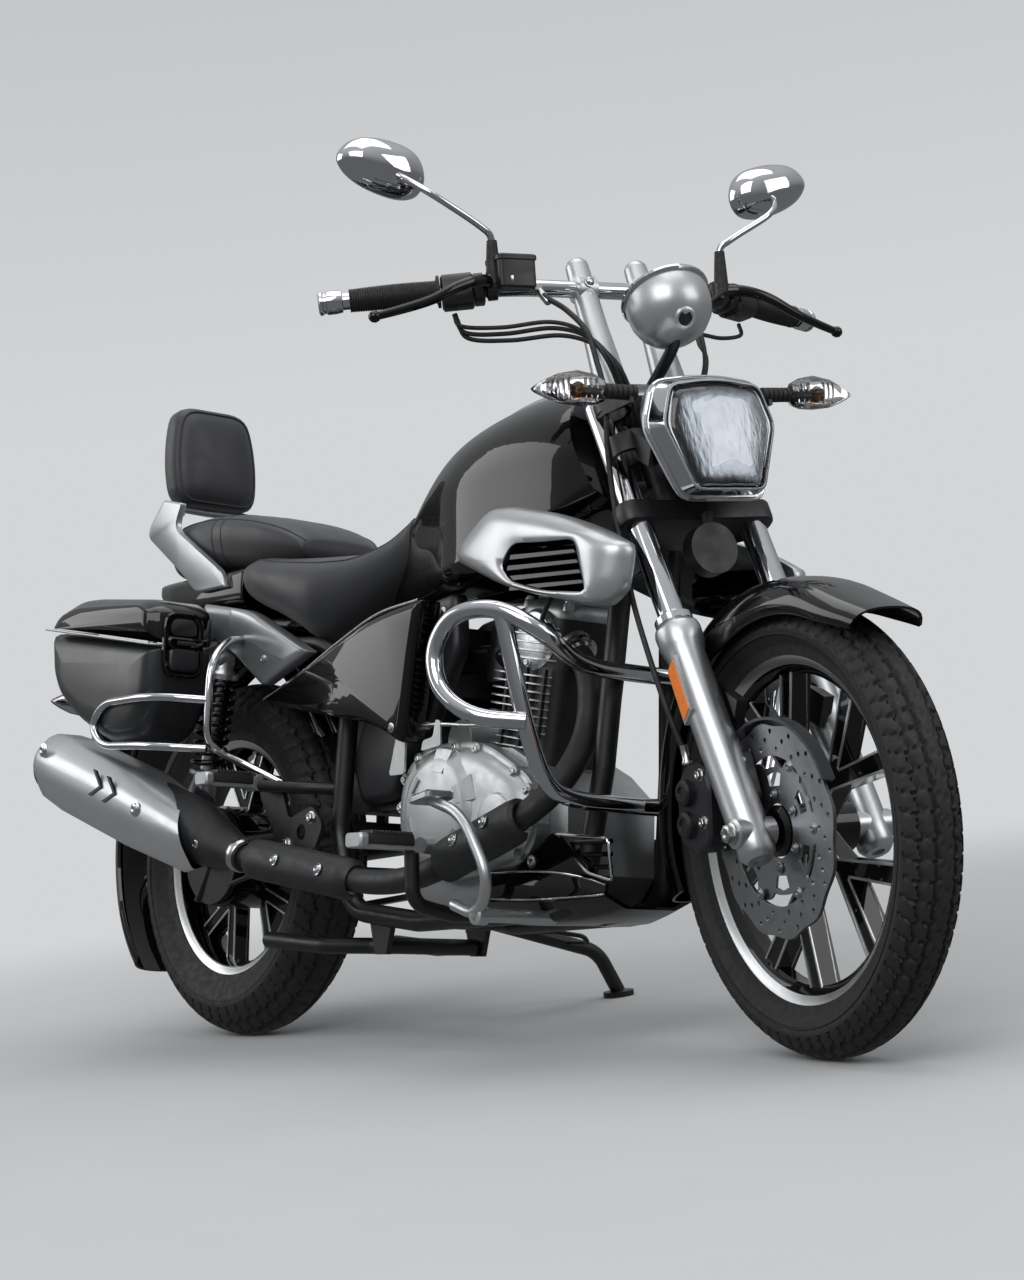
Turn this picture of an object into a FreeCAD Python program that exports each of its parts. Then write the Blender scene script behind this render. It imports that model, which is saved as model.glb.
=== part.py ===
import FreeCAD, Part
import Sketcher
import math
import operator
import os

# Cruiser motorcycle, leaning on its side stand. Lengths are millimetres and angles are degrees.
# The pieces are drawn upright: X forward from the rear axle, Y to the rider's left, Z up from the
# ground. Each piece is then leaned over, and what the fork carries is turned with the steering.

VECTOR = FreeCAD.Vector
UP = VECTOR(0, 0, 1)
ACROSS = VECTOR(0, 1, 0)
AHEAD = VECTOR(1, 0, 0)

SIZES = (
    ("wheelbase", 1414),
    ("rake", 25.44),
    ("fork_offset", 62.6),
    ("lean", 10.35),
    ("steer_turn", -13.1),
    ("fit_gap", 0.3),
    ("running_gap", 0.5),
    ("side_gap", 6),
    ("front_tyre_radius", 302),
    ("front_tyre_half", 45),
    ("front_bead_radius", 228.6),
    ("front_rim_half", 28),
    ("rear_tyre_radius", 307),
    ("rear_tyre_half", 64),
    ("rear_bead_radius", 203.2),
    ("rear_rim_half", 42),
    ("rim_flange", 13),
    ("rim_depth", 17),
    ("axle_radius", 7.5),
    ("hub_radius", 34),
    ("spoke_width", 26),
    ("spoke_thick", 22),
    ("disc_radius", 140),
    ("disc_thick", 5),
    ("disc_inner", 62),
    ("pad_gap", 2),
    ("drum_radius", 88),
    ("drum_half", 72),
    ("sprocket_radius", 98),
    ("drive_sprocket_radius", 36),
    ("chain_tall", 11),
    ("chain_wide", 12),
    ("fork_half", 91.8),
    ("fork_tube", 19),
    ("slider_radius", 27),
    ("slider_top", 314.6),
    ("slider_bottom", -26),
    ("tube_depth", 120),
    ("collar_radius", 31),
    ("collar_length", 22),
    ("lower_clamp", 512.8),
    ("upper_clamp", 728),
    ("yoke_wall", 9),
    ("lower_yoke_thick", 34),
    ("upper_yoke_thick", 24),
    ("bearing_gap", 3),
    ("tank_gap", 44),
    ("stem_radius", 14),
    ("head_tube_radius", 29),
    ("bar_radius", 12.7),
    ("riser_radius", 17),
    ("riser_half", 50),
    ("grip_radius", 17.5),
    ("grip_length", 128),
    ("bar_end_radius", 17),
    ("bar_end_length", 34),
    ("mirror_stem", 5),
    ("frame_tube", 16),
    ("seat_tube", 12),
    ("backbone_radius", 24),
    ("guard_tube", 12.7),
    ("gauge_radius", 62),
    ("gauge_depth", 58),
    ("fender_room", 24),
    ("fender_sheet", 4),
    ("fender_half", 60),
    ("fender_skirt", 48),
    ("fender_front", 30),
    ("fender_back", 105),
    ("pipe_radius", 19),
    ("muffler_radius", 56),
    ("muffler_cone", 150),
    ("outlet_radius", 18),
    ("outlet_depth", 60),
    ("engine_half", 82),
    ("fin_step", 12),
    ("fin_thick", 4),
    ("pivot_radius", 20),
    ("arm_radius", 18),
    ("shock_out", 150),
    ("shock_body", 20),
    ("shock_coil", 27),
    ("stud_radius", 7),
    ("stand_tube", 12),
    ("stand_pin", 5),
    ("stand_boss", 26),
    ("pannier_wall", 4),
    ("pannier_near", 190),
    ("pannier_depth", 120),
    ("pannier_bevel", 16),
    ("lid_seam_gap", 1),
    ("hinge_pin", 3.5),
    ("knuckle_radius", 7),
    ("rail_tube", 7),
)


class Size(float):
    """A number that remembers the sheet expression it was worked out from."""

    def __new__(cls, number, text):
        made = super().__new__(cls, number)
        made.text = text
        return made


def text_of(number):
    return getattr(number, "text", f"{float(number):.9g}")


def give_sizes_arithmetic():
    table = (("add", "+", operator.add), ("sub", "-", operator.sub),
             ("mul", "*", operator.mul), ("truediv", "/", operator.truediv))
    for name, sign, work in table:
        def straight(one, two, sign=sign, work=work):
            return Size(work(float(one), float(two)), f"({text_of(one)} {sign} {text_of(two)})")

        def swapped(one, two, sign=sign, work=work):
            return Size(work(float(two), float(one)), f"({text_of(two)} {sign} {text_of(one)})")

        setattr(Size, f"__{name}__", straight)
        setattr(Size, f"__r{name}__", swapped)
    Size.__neg__ = lambda one: one * -1


give_sizes_arithmetic()
doc = FreeCAD.newDocument("cruiser_motorcycle")
sheet = doc.addObject("Spreadsheet::Sheet", "sizes")


class Names:
    """The sheet's sizes as attributes."""


s = Names()
for row, (alias, number) in enumerate(SIZES, start=1):
    sheet.set(f"A{row}", alias)
    sheet.set(f"B{row}", str(number))
    sheet.setAlias(f"B{row}", alias)
    setattr(s, alias, Size(number, f"sizes.{alias}"))
doc.recompute()


def bind(item, **sizes):
    for name, number in sizes.items():
        item.setExpression(name, text_of(number))
    return item


def real(point):
    """A finished place is a vector. A drawn one is a tuple, and moves with the axles."""
    return point if isinstance(point, FreeCAD.Vector) else spot(*point)


def turned(towards, start=UP):
    return FreeCAD.Rotation(start, VECTOR(*towards))


def rod(name, radius, length, at, towards=UP):
    item = doc.addObject("Part::Cylinder", name)
    bind(item, Radius=radius, Height=length)
    item.Placement = FreeCAD.Placement(real(at), turned(towards))
    return item


def rod_between(name, radius, start, end):
    start, end = real(start), real(end)
    return rod(name, radius, (end - start).Length, start, end - start)


def cross_rod(name, radius, half, forward, up):
    """A bar right across the machine."""
    return rod(name, radius, half * 2, spot(forward, -float(half), up), ACROSS)


def ball(name, radius, centre):
    item = bind(doc.addObject("Part::Sphere", name), Radius=radius)
    item.Placement = FreeCAD.Placement(real(centre), FreeCAD.Rotation())
    return item


def cone(name, radius, end_radius, length, at, towards=UP):
    item = doc.addObject("Part::Cone", name)
    bind(item, Radius1=radius, Radius2=end_radius, Height=length)
    item.Placement = FreeCAD.Placement(real(at), turned(towards))
    return item


def block(name, length, width, height, centre, pitch=0.0, axis=ACROSS):
    item = doc.addObject("Part::Box", name)
    bind(item, Length=length, Width=width, Height=height)
    half = VECTOR(float(length) / 2, float(width) / 2, float(height) / 2)
    spin = FreeCAD.Rotation(axis, pitch)
    item.Placement = FreeCAD.Placement(real(centre) - spin.multVec(half), spin)
    return item


def feature(name, shape):
    item = doc.addObject("Part::Feature", name)
    item.Shape = shape
    return item


def route(points, bend):
    """A wire of straight runs joined by tangent arcs of the bend radius, or less in short runs."""
    points = [real(point) for point in points]
    edges, here = [], points[0]
    for before, corner, after in zip(points, points[1:], points[2:]):
        back, on = before - corner, after - corner
        turn = math.pi - back.getAngle(on)
        reach = min(float(bend) * math.tan(turn / 2), 0.48 * back.Length, 0.48 * on.Length)
        back.normalize()
        on.normalize()
        first, last = corner + back * reach, corner + on * reach
        radius = reach / math.tan(turn / 2)
        inward = (back + on).normalize()
        middle = corner + inward * (radius / math.cos(turn / 2) - radius)
        edges.append(Part.LineSegment(here, first).toShape())
        edges.append(Part.Arc(first, middle, last).toShape())
        here = last
    edges.append(Part.LineSegment(here, points[-1]).toShape())
    return Part.Wire(edges)


def tube(name, radius, points, bend=60):
    """A round bar along a bent route."""
    spine = feature(f"{name}_route", route(points, bend))
    ring = bind(doc.addObject("Part::Circle", f"{name}_ring"), Radius=radius)
    start, then = real(points[0]), real(points[1])
    ring.Placement = FreeCAD.Placement(start, turned(then - start))
    item = doc.addObject("Part::Sweep", name)
    item.Sections = [ring]
    item.Spine = (spine, [])
    item.Solid = True
    item.Frenet = False
    return item


def ring_of(place, half_width, low, high, top_corner, low_corner):
    """A closed ring of four lines and four arcs; place turns (across, up) into a point."""
    hw, low, high = float(half_width), float(low), float(high)
    edges, last = [], None
    corners = ((hw, low, low_corner, -1, 1), (hw, high, top_corner, -1, -1),
               (-hw, high, top_corner, 1, -1), (-hw, low, low_corner, 1, 1))
    first = None
    for index, (across, height, corner, inward, upward) in enumerate(corners):
        corner = float(corner)
        centre = (across + inward * corner, height + upward * corner)
        side = (across, centre[1])
        flat = (centre[0], height)
        lean_in = corner * (1 - math.sqrt(0.5))
        middle = (across + inward * lean_in, height + upward * lean_in)
        start, end = (flat, side) if index % 2 == 0 else (side, flat)
        if last:
            edges.append(Part.LineSegment(place(*last), place(*start)).toShape())
        edges.append(Part.Arc(place(*start), place(*middle), place(*end)).toShape())
        first, last = first or start, end
    edges.append(Part.LineSegment(place(*last), place(*first)).toShape())
    return Part.Wire(edges)


def loft(name, rings):
    item = doc.addObject("Part::Loft", name)
    item.Sections = [feature(f"{name}_ring", ring) for ring in rings]
    item.Solid = True
    item.Ruled = False
    return item


def stations(name, rows, centre=0.0, place=None):
    """A skin through rings across the machine: forward, half width, low, high, corners."""
    def place_at(forward):
        return lambda across, up: (place or spot)(float(forward), float(centre) + across, up)
    return loft(name, [ring_of(place_at(row[0]), *row[1:]) for row in rows])


def inset(corners, wall):
    """The same outline drawn in by a wall, by the meeting points of its moved sides."""
    area = sum(one[0] * two[1] - two[0] * one[1] for one, two in zip(corners, corners[1:] + corners[:1]))
    sign = 1 if area > 0 else -1
    inner = []
    for before, corner, after in zip(corners[-1:] + corners, corners, corners[1:] + corners[:1]):
        sides = []
        for one, two in ((before, corner), (corner, after)):
            along = VECTOR(two[0] - one[0], two[1] - one[1], 0).normalize()
            sides.append(VECTOR(-along.y, along.x, 0) * sign)
        step = (sides[0] + sides[1]) * (float(wall) / (1 + sides[0].dot(sides[1])))
        inner.append((corner[0] + step.x, corner[1] + step.y))
    return inner


def side_form(name, corners, rows, place=None):
    """A moulding seen from the side: rows give the place across and how far the outline draws in."""
    rings = []
    for across, drawn_in in rows:
        points = [(place or spot)(x, float(across), z) for x, z in inset(list(corners), float(drawn_in))]
        rings.append(Part.makePolygon(points + points[:1]))
    item = loft(name, rings)
    item.Ruled = True
    return item


def plane_of(body, role):
    return [item for item in body.Origin.OriginFeatures if item.Role == role][0]


def sketch_on(body, role, name, offset=0.0):
    sketch = body.newObject("Sketcher::SketchObject", name)
    sketch.AttachmentSupport = [(plane_of(body, role), "")]
    sketch.MapMode = "FlatFace"
    sketch.AttachmentOffset = FreeCAD.Placement(VECTOR(0, 0, float(offset)), FreeCAD.Rotation())
    return sketch


def outline(sketch, corners):
    """Lines through the corners, each corner held at its two sizes."""
    count, start = len(corners), sketch.GeometryCount
    points = [VECTOR(float(one), float(two), 0) for one, two in corners]
    sketch.addGeometry([Part.LineSegment(points[i], points[(i + 1) % count]) for i in range(count)], False)
    rules, texts = [], []
    for i, corner in enumerate(corners):
        line, following = start + i, start + (i + 1) % count
        rules.append(Sketcher.Constraint("Coincident", line, 2, following, 1))
        for kind, number in zip(("DistanceX", "DistanceY"), corner):
            rules.append(Sketcher.Constraint(kind, -1, 1, line, 1, float(number)))
            texts.append((len(rules) - 1, number))
    base = sketch.ConstraintCount
    sketch.addConstraint(rules)
    for index, number in texts:
        if isinstance(number, Size):
            sketch.setExpression(f"Constraints[{base + index}]", number.text)


def hole(sketch, radius, centre=(0, 0)):
    index = sketch.addGeometry(Part.Circle(VECTOR(float(centre[0]), float(centre[1]), 0), UP, float(radius)), False)
    rules = [Sketcher.Constraint("Radius", index, float(radius))]
    for kind, number in zip(("DistanceX", "DistanceY"), centre):
        rules.append(Sketcher.Constraint(kind, -1, 1, index, 3, float(number)))
    base = sketch.ConstraintCount
    sketch.addConstraint(rules)
    for index, number in enumerate((radius, *centre)):
        if isinstance(number, Size):
            sketch.setExpression(f"Constraints[{base + index}]", number.text)


def plate(name, corners, middle, thick, holes=(), place=None):
    """A flat plate seen from the side: corners are (forward, up), middle is its place across."""
    body = doc.addObject("PartDesign::Body", name)
    sketch = sketch_on(body, "XZ_Plane", f"{name}_outline", -float(middle))
    points = [(place or spot)(x, 0, z) for x, z in corners]
    outline(sketch, [(point.x, point.z) for point in points])
    for radius, centre in holes:
        hole(sketch, radius, centre)
    pad = body.newObject("PartDesign::Pad", f"{name}_pad")
    pad.Profile = sketch
    pad.SideType = "Symmetric"
    bind(pad, Length=thick)
    return body


def spun(name, corners, turn=360.0):
    """A body of revolution about the wheel's axis: corners are (across, radius)."""
    body = doc.addObject("PartDesign::Body", name)
    sketch = sketch_on(body, "YZ_Plane", f"{name}_outline")
    outline(sketch, corners)
    spin = body.newObject("PartDesign::Revolution", f"{name}_spin")
    spin.Profile = sketch
    spin.ReferenceAxis = (sketch, ["H_Axis"])
    bind(spin, Angle=turn)
    return body


def moved(item, to, spin=None):
    item.Placement = FreeCAD.Placement(VECTOR(*to), spin or item.Placement.Rotation)
    return item


def mirrored(name, item):
    twin = doc.addObject("Part::Mirroring", name)
    twin.Source = item
    twin.Normal = ACROSS
    return twin


def both_sides(item):
    return [item, mirrored(f"{item.Name}_other", item)]


def each_side(make):
    """One piece for each side, made by its tag and its sign across."""
    return [make(tag, hand) for tag, hand in (("right", -1), ("left", 1))]


def fused(name, items):
    if len(items) == 1:
        return items[0]
    item = doc.addObject("Part::MultiFuse", name)
    item.Shapes = items
    return item


def cut(name, base, tools):
    item = doc.addObject("Part::Cut", name)
    item.Base = base
    item.Tool = tools[0] if len(tools) == 1 else fused(f"{name}_tools", tools)
    return item


def grouped(name, items):
    item = doc.addObject("Part::Compound", name)
    item.Links = items
    return item



TILT = math.radians(s.rake)
FORK = VECTOR(-math.sin(TILT), 0, math.cos(TILT))
FORK_AHEAD = VECTOR(math.cos(TILT), 0, math.sin(TILT))
FRONT = VECTOR(s.wheelbase, 0, s.front_tyre_radius)
REAR = VECTOR(0, 0, s.rear_tyre_radius)
DRAWN_WHEELBASE = 1414
DRAWN_FRONT = 302
DRAWN_REAR = 307
SADDLE_END = 440
HEAD_START = 1060


def spot(x, y, z):
    """A drawn place on the body. Between the saddle and the head it moves with the wheelbase, and
    over each wheel it keeps its height above the tyre."""
    share = min(max((x - SADDLE_END) / (HEAD_START - SADDLE_END), 0), 1)
    front_lift = float(s.front_tyre_radius) - DRAWN_FRONT
    rear_lift = (float(s.rear_tyre_radius) - DRAWN_REAR) * 2
    forward = (float(s.wheelbase) - DRAWN_WHEELBASE) * share
    return VECTOR(x + forward, y, z + front_lift * share + rear_lift * (1 - share))


def ahead(x, y, z):
    """A drawn place on what steers. It moves with the front axle."""
    return VECTOR(x + float(s.wheelbase) - DRAWN_WHEELBASE, y, z + float(s.front_tyre_radius) - DRAWN_FRONT)


def on_fork(up, across=0.0, ahead=0.0):
    """A point by its distance above the front axle along the fork."""
    return FRONT + FORK * float(up) + FORK_AHEAD * float(ahead) + ACROSS * float(across)


def on_stem(up, across=0.0, ahead=0.0):
    return on_fork(up, across, float(ahead) - s.fork_offset)


def crown_of(radius, half, bead):
    """The crown's radius and the height of the shoulder where it meets the sidewall."""
    shoulder = radius - (radius - bead - s.rim_flange) * 0.55
    rise = radius - shoulder
    return (half * half + rise * rise) / (rise * 2), shoulder


FRONT_CROWN = crown_of(s.front_tyre_radius, s.front_tyre_half, s.front_bead_radius)[0]
REAR_CROWN = crown_of(s.rear_tyre_radius, s.rear_tyre_half, s.rear_bead_radius)[0]


def lowest(centre, axis, radius, crown):
    return centre.z - (radius - crown) * math.sqrt(1 - axis.z ** 2) - crown


LEAN = FreeCAD.Placement(VECTOR(), FreeCAD.Rotation(AHEAD, -s.lean))
STEER = FreeCAD.Placement(VECTOR(), FreeCAD.Rotation(FORK, s.steer_turn), on_stem(0))


def parked_place():
    """The lean on the stand, with the small pitch and lift that set both tyres on the ground."""
    front = LEAN * STEER
    front_low = lowest(front.multVec(FRONT), front.Rotation.multVec(ACROSS),
                       s.front_tyre_radius, FRONT_CROWN)
    rear_low = lowest(LEAN.multVec(REAR), LEAN.Rotation.multVec(ACROSS),
                      s.rear_tyre_radius, REAR_CROWN)
    pitch = math.degrees(math.atan2(front_low - rear_low, s.wheelbase))
    level = FreeCAD.Placement(VECTOR(0, 0, -rear_low), FreeCAD.Rotation(ACROSS, pitch))
    return level * LEAN


PARKED = parked_place()
STEERED = PARKED * STEER
GROUND = PARKED.inverse()
STAND_PIVOT = spot(470, 134, 200)
STAND_FOOT = GROUND.multVec(VECTOR(500, 430, 0))
STAND_DOWN = STAND_FOOT - STAND_PIVOT
STAND_FOLDED = VECTOR(-1, 0.14, -0.16)
STAND_AXIS = STAND_DOWN.cross(STAND_FOLDED).normalize()
CENTRE_PIVOT = spot(540, 0, 150)
PANNIER_MIDDLE = s.pannier_near + s.pannier_depth / 2
LID_HINGE = (-210, 688)
MUFFLER_START = spot(330, -222, 290)
OUTLET_END = spot(-225, -268, 470)
OUTLET_ALONG = (OUTLET_END - MUFFLER_START).normalize()

parts = []


def keep(label, items, place=PARKED, carve=()):
    """Names a finished piece, cut back from its neighbours, and leans it with the machine."""
    if carve:
        item = cut(f"{label}_finished", grouped(f"{label}_pieces", items), list(carve))
    else:
        item = grouped(f"{label}_finished", items)
    for piece in doc.getObjectsByLabel(label):
        piece.Label = f"{label}_upright"
    item.Label = label
    item.Placement = place
    parts.append(item)


def tyre(name, radius, half, bead, rim_half, centre):
    """Straight sidewalls from the rim to the shoulders and a round crown, spun about the axle."""
    body = doc.addObject("PartDesign::Body", name)
    sketch = sketch_on(body, "YZ_Plane", f"{name}_section")
    lip = bead + s.rim_flange + s.fit_gap
    crown, shoulder = crown_of(radius, half, bead)
    points = [(half, shoulder), (rim_half, lip), (rim_half, bead), (-rim_half, bead), (-rim_half, lip),
              (-half, shoulder)]
    vectors = [VECTOR(float(across), float(up), 0) for across, up in points]
    sketch.addGeometry([Part.LineSegment(one, two) for one, two in zip(vectors, vectors[1:])], False)
    top = VECTOR(0, float(radius), 0)
    arc = sketch.addGeometry(Part.Arc(vectors[0], top, vectors[-1]), False)
    rules, texts = [], []
    for line, (across, up) in enumerate(points[:-1]):
        if line:
            rules.append(Sketcher.Constraint("Coincident", line - 1, 2, line, 1))
        for kind, number in (("DistanceX", across), ("DistanceY", up)):
            rules.append(Sketcher.Constraint(kind, -1, 1, line, 1, float(number)))
            texts.append((len(rules) - 1, number))
    ends = ((1, 0, 1), (2, 4, 2)) if vectors[0].x < 0 else ((2, 0, 1), (1, 4, 2))
    start = sketch.Geometry[arc].StartPoint
    if start.distanceToPoint(vectors[0]) < start.distanceToPoint(vectors[-1]):
        ends = ((1, 0, 1), (2, 4, 2))
    rules += [Sketcher.Constraint("Coincident", arc, mine, line, its) for mine, line, its in ends]
    rules.append(Sketcher.Constraint("DistanceY", -1, 1, arc, 3, float(radius - crown)))
    texts.append((len(rules) - 1, radius - crown))
    rules.append(Sketcher.Constraint("PointOnObject", arc, 3, -2))
    rules.append(Sketcher.Constraint("Horizontal", 0, 1, 4, 2))
    sketch.addConstraint(rules)
    for index, number in texts:
        if isinstance(number, Size):
            sketch.setExpression(f"Constraints[{index}]", number.text)
    spin = body.newObject("PartDesign::Revolution", f"{name}_spin")
    spin.Profile = sketch
    spin.ReferenceAxis = (sketch, ["H_Axis"])
    spin.Angle = 360
    return moved(body, centre)


def cast_wheel(name, bead, rim_half, hub_half, hub_radius, centre):
    """A rim, five spokes that fork near the rim and a hub with the axle's bore."""
    body = doc.addObject("PartDesign::Body", name)
    outer, inner = rim_half + 5, rim_half - 8
    lip, floor = bead + s.rim_flange, bead - s.rim_depth
    features = []

    def spin(tag, corners):
        sketch = sketch_on(body, "YZ_Plane", f"{name}_{tag}_outline")
        outline(sketch, corners)
        item = body.newObject("PartDesign::Revolution", f"{name}_{tag}")
        item.Profile = sketch
        item.ReferenceAxis = (sketch, ["H_Axis"])
        item.Angle = 360
        features.append(item)

    spin("rim", [(-outer, lip), (-rim_half, lip), (-rim_half, bead), (rim_half, bead), (rim_half, lip),
                 (outer, lip), (outer, bead - 4), (inner, floor), (-inner, floor), (-outer, bead - 4)])
    reach = floor + 3
    near, far = math.radians(16), math.radians(21.5)
    split = s.spoke_width / 2
    fork_at, notch_at = floor * 0.5, floor * 0.62
    sketch = sketch_on(body, "XZ_Plane", f"{name}_spoke_outline")
    outline(sketch, [(-split, hub_radius - 4), (-split, fork_at), (reach * -math.sin(far), reach * math.cos(far)),
                     (reach * -math.sin(near), reach * math.cos(near)), (0, notch_at),
                     (reach * math.sin(near), reach * math.cos(near)),
                     (reach * math.sin(far), reach * math.cos(far)), (split, fork_at), (split, hub_radius - 4)])
    spoke = body.newObject("PartDesign::Pad", f"{name}_spoke")
    spoke.Profile = sketch
    spoke.SideType = "Symmetric"
    bind(spoke, Length=s.spoke_thick)
    doc.recompute()
    ring = body.newObject("PartDesign::PolarPattern", f"{name}_spokes")
    ring.Originals = [spoke]
    ring.Axis = (plane_of(body, "Y_Axis"), [""])
    ring.Angle = 360
    ring.Occurrences = 5
    body.Tip = ring
    doc.recompute()
    bore = s.axle_radius + s.running_gap
    spin("hub", [(-hub_half, bore), (-hub_half, hub_radius), (hub_half, hub_radius), (hub_half, bore)])
    body.Tip = features[-1]
    doc.recompute()
    drill = rod(f"{name}_bore", bore, hub_half * 4, centre - ACROSS * float(hub_half * 2), ACROSS)
    return cut(f"{name}_bored", moved(body, centre), [drill])


def front_hub_half():
    return s.fork_half - s.slider_radius - s.side_gap


def wheels():
    place = STEERED
    hub = front_hub_half()
    keep("front_tyre", [tyre("front_tyre", s.front_tyre_radius, s.front_tyre_half, s.front_bead_radius,
                             s.front_rim_half, FRONT)], place)
    wheel = cast_wheel("front_wheel", s.front_bead_radius, s.front_rim_half, hub, s.hub_radius, FRONT)
    disc_at = hub - s.disc_thick - 1
    disc = spun("front_disc_ring", [(-disc_at, s.disc_inner), (-disc_at, s.disc_radius),
                                    (-disc_at - s.disc_thick, s.disc_radius),
                                    (-disc_at - s.disc_thick, s.disc_inner)])
    carrier = spun("disc_carrier", [(-disc_at + 8, s.hub_radius), (-disc_at + 8, s.disc_inner + 12),
                                    (-disc_at, s.disc_inner + 12), (-disc_at, s.hub_radius)])
    keep("front_wheel", [wheel], place)
    keep("front_disc", [fused("disc_and_carrier", [moved(disc, FRONT), moved(carrier, FRONT)])], place, [wheel])
    keep("rear_tyre", [tyre("rear_tyre", s.rear_tyre_radius, s.rear_tyre_half, s.rear_bead_radius,
                            s.rear_rim_half, REAR)])
    keep("rear_wheel", [cast_wheel("rear_wheel", s.rear_bead_radius, s.rear_rim_half, s.drum_half,
                                   s.drum_radius, REAR)])
    near = s.drum_half + s.fit_gap
    bore = s.axle_radius + s.running_gap
    sprocket = spun("sprocket_plate", [(near, bore), (near, s.sprocket_radius), (near + 7, s.sprocket_radius),
                                       (near + 7, bore)])
    keep("rear_sprocket", [moved(sprocket, REAR)])


def fork():
    place = STEERED
    axle_half = s.fork_half + s.slider_radius + 12
    axle_start = FRONT - ACROSS * float(axle_half)
    axle = rod("front_axle_bar", s.axle_radius, axle_half * 2, axle_start, ACROSS)
    foot = s.slider_top - s.tube_depth
    length = s.upper_clamp + s.upper_yoke_thick / 2 + 6 - foot
    tubes = each_side(lambda tag, hand: rod(f"fork_tube_{tag}", s.fork_tube, length,
                                            on_fork(foot, hand * s.fork_half), FORK))
    keep("fork_tubes", tubes, place)

    def leg(tag, hand):
        body = rod(f"slider_{tag}", s.slider_radius, s.slider_top - s.slider_bottom,
                   on_fork(s.slider_bottom, hand * s.fork_half), FORK)
        collar = rod(f"collar_{tag}", s.collar_radius, s.collar_length,
                     on_fork(s.slider_top - s.collar_length, hand * s.fork_half), FORK)
        lug = rod(f"axle_lug_{tag}", s.slider_radius - 5, s.slider_radius * 2,
                  FRONT + ACROSS * float(hand * s.fork_half - s.slider_radius), ACROSS)
        bore = rod(f"slider_bore_{tag}", s.fork_tube + s.fit_gap / 2, s.tube_depth * 2,
                   on_fork(foot, hand * s.fork_half), FORK)
        return cut(f"leg_{tag}", fused(f"leg_{tag}_body", [body, collar, lug]), [bore])

    sliders = each_side(leg)
    keep("fork_sliders", [fused("sliders_and_axle", sliders + [axle])], place)
    half, back = s.fork_half, s.fork_offset
    edge = s.fork_tube + s.yoke_wall
    corners = [(edge, -half), (edge, half), (edge * 0.6, half + edge * 0.8), (-edge * 0.6, half + edge * 0.8),
               (-back - 24, 22), (-back - 32, 10), (-back - 32, -10), (-back - 24, -22),
               (-edge * 0.6, -half - edge * 0.8), (edge * 0.6, -half - edge * 0.8)]
    yokes = []
    for name, up, thick in (("lower", s.lower_clamp, s.lower_yoke_thick),
                            ("upper", s.upper_clamp, s.upper_yoke_thick)):
        body = doc.addObject("PartDesign::Body", f"{name}_yoke")
        sketch = sketch_on(body, "XY_Plane", f"{name}_yoke_outline")
        outline(sketch, corners)
        for hand in (-1, 1):
            hole(sketch, s.fork_tube, (0, half * hand))
        pad = body.newObject("PartDesign::Pad", f"{name}_yoke_pad")
        pad.Profile = sketch
        bind(pad, Length=thick)
        body.Placement = FreeCAD.Placement(on_fork(up - thick / 2), turned(FORK))
        yokes.append(body)
    stem = rod("steering_stem", s.stem_radius, s.upper_clamp - s.lower_clamp, on_stem(s.lower_clamp), FORK)
    return tubes, sliders, yokes + [stem]


def grip_points():
    return ahead(933, 261, 1125), ahead(872, 393, 1119.5)


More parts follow.
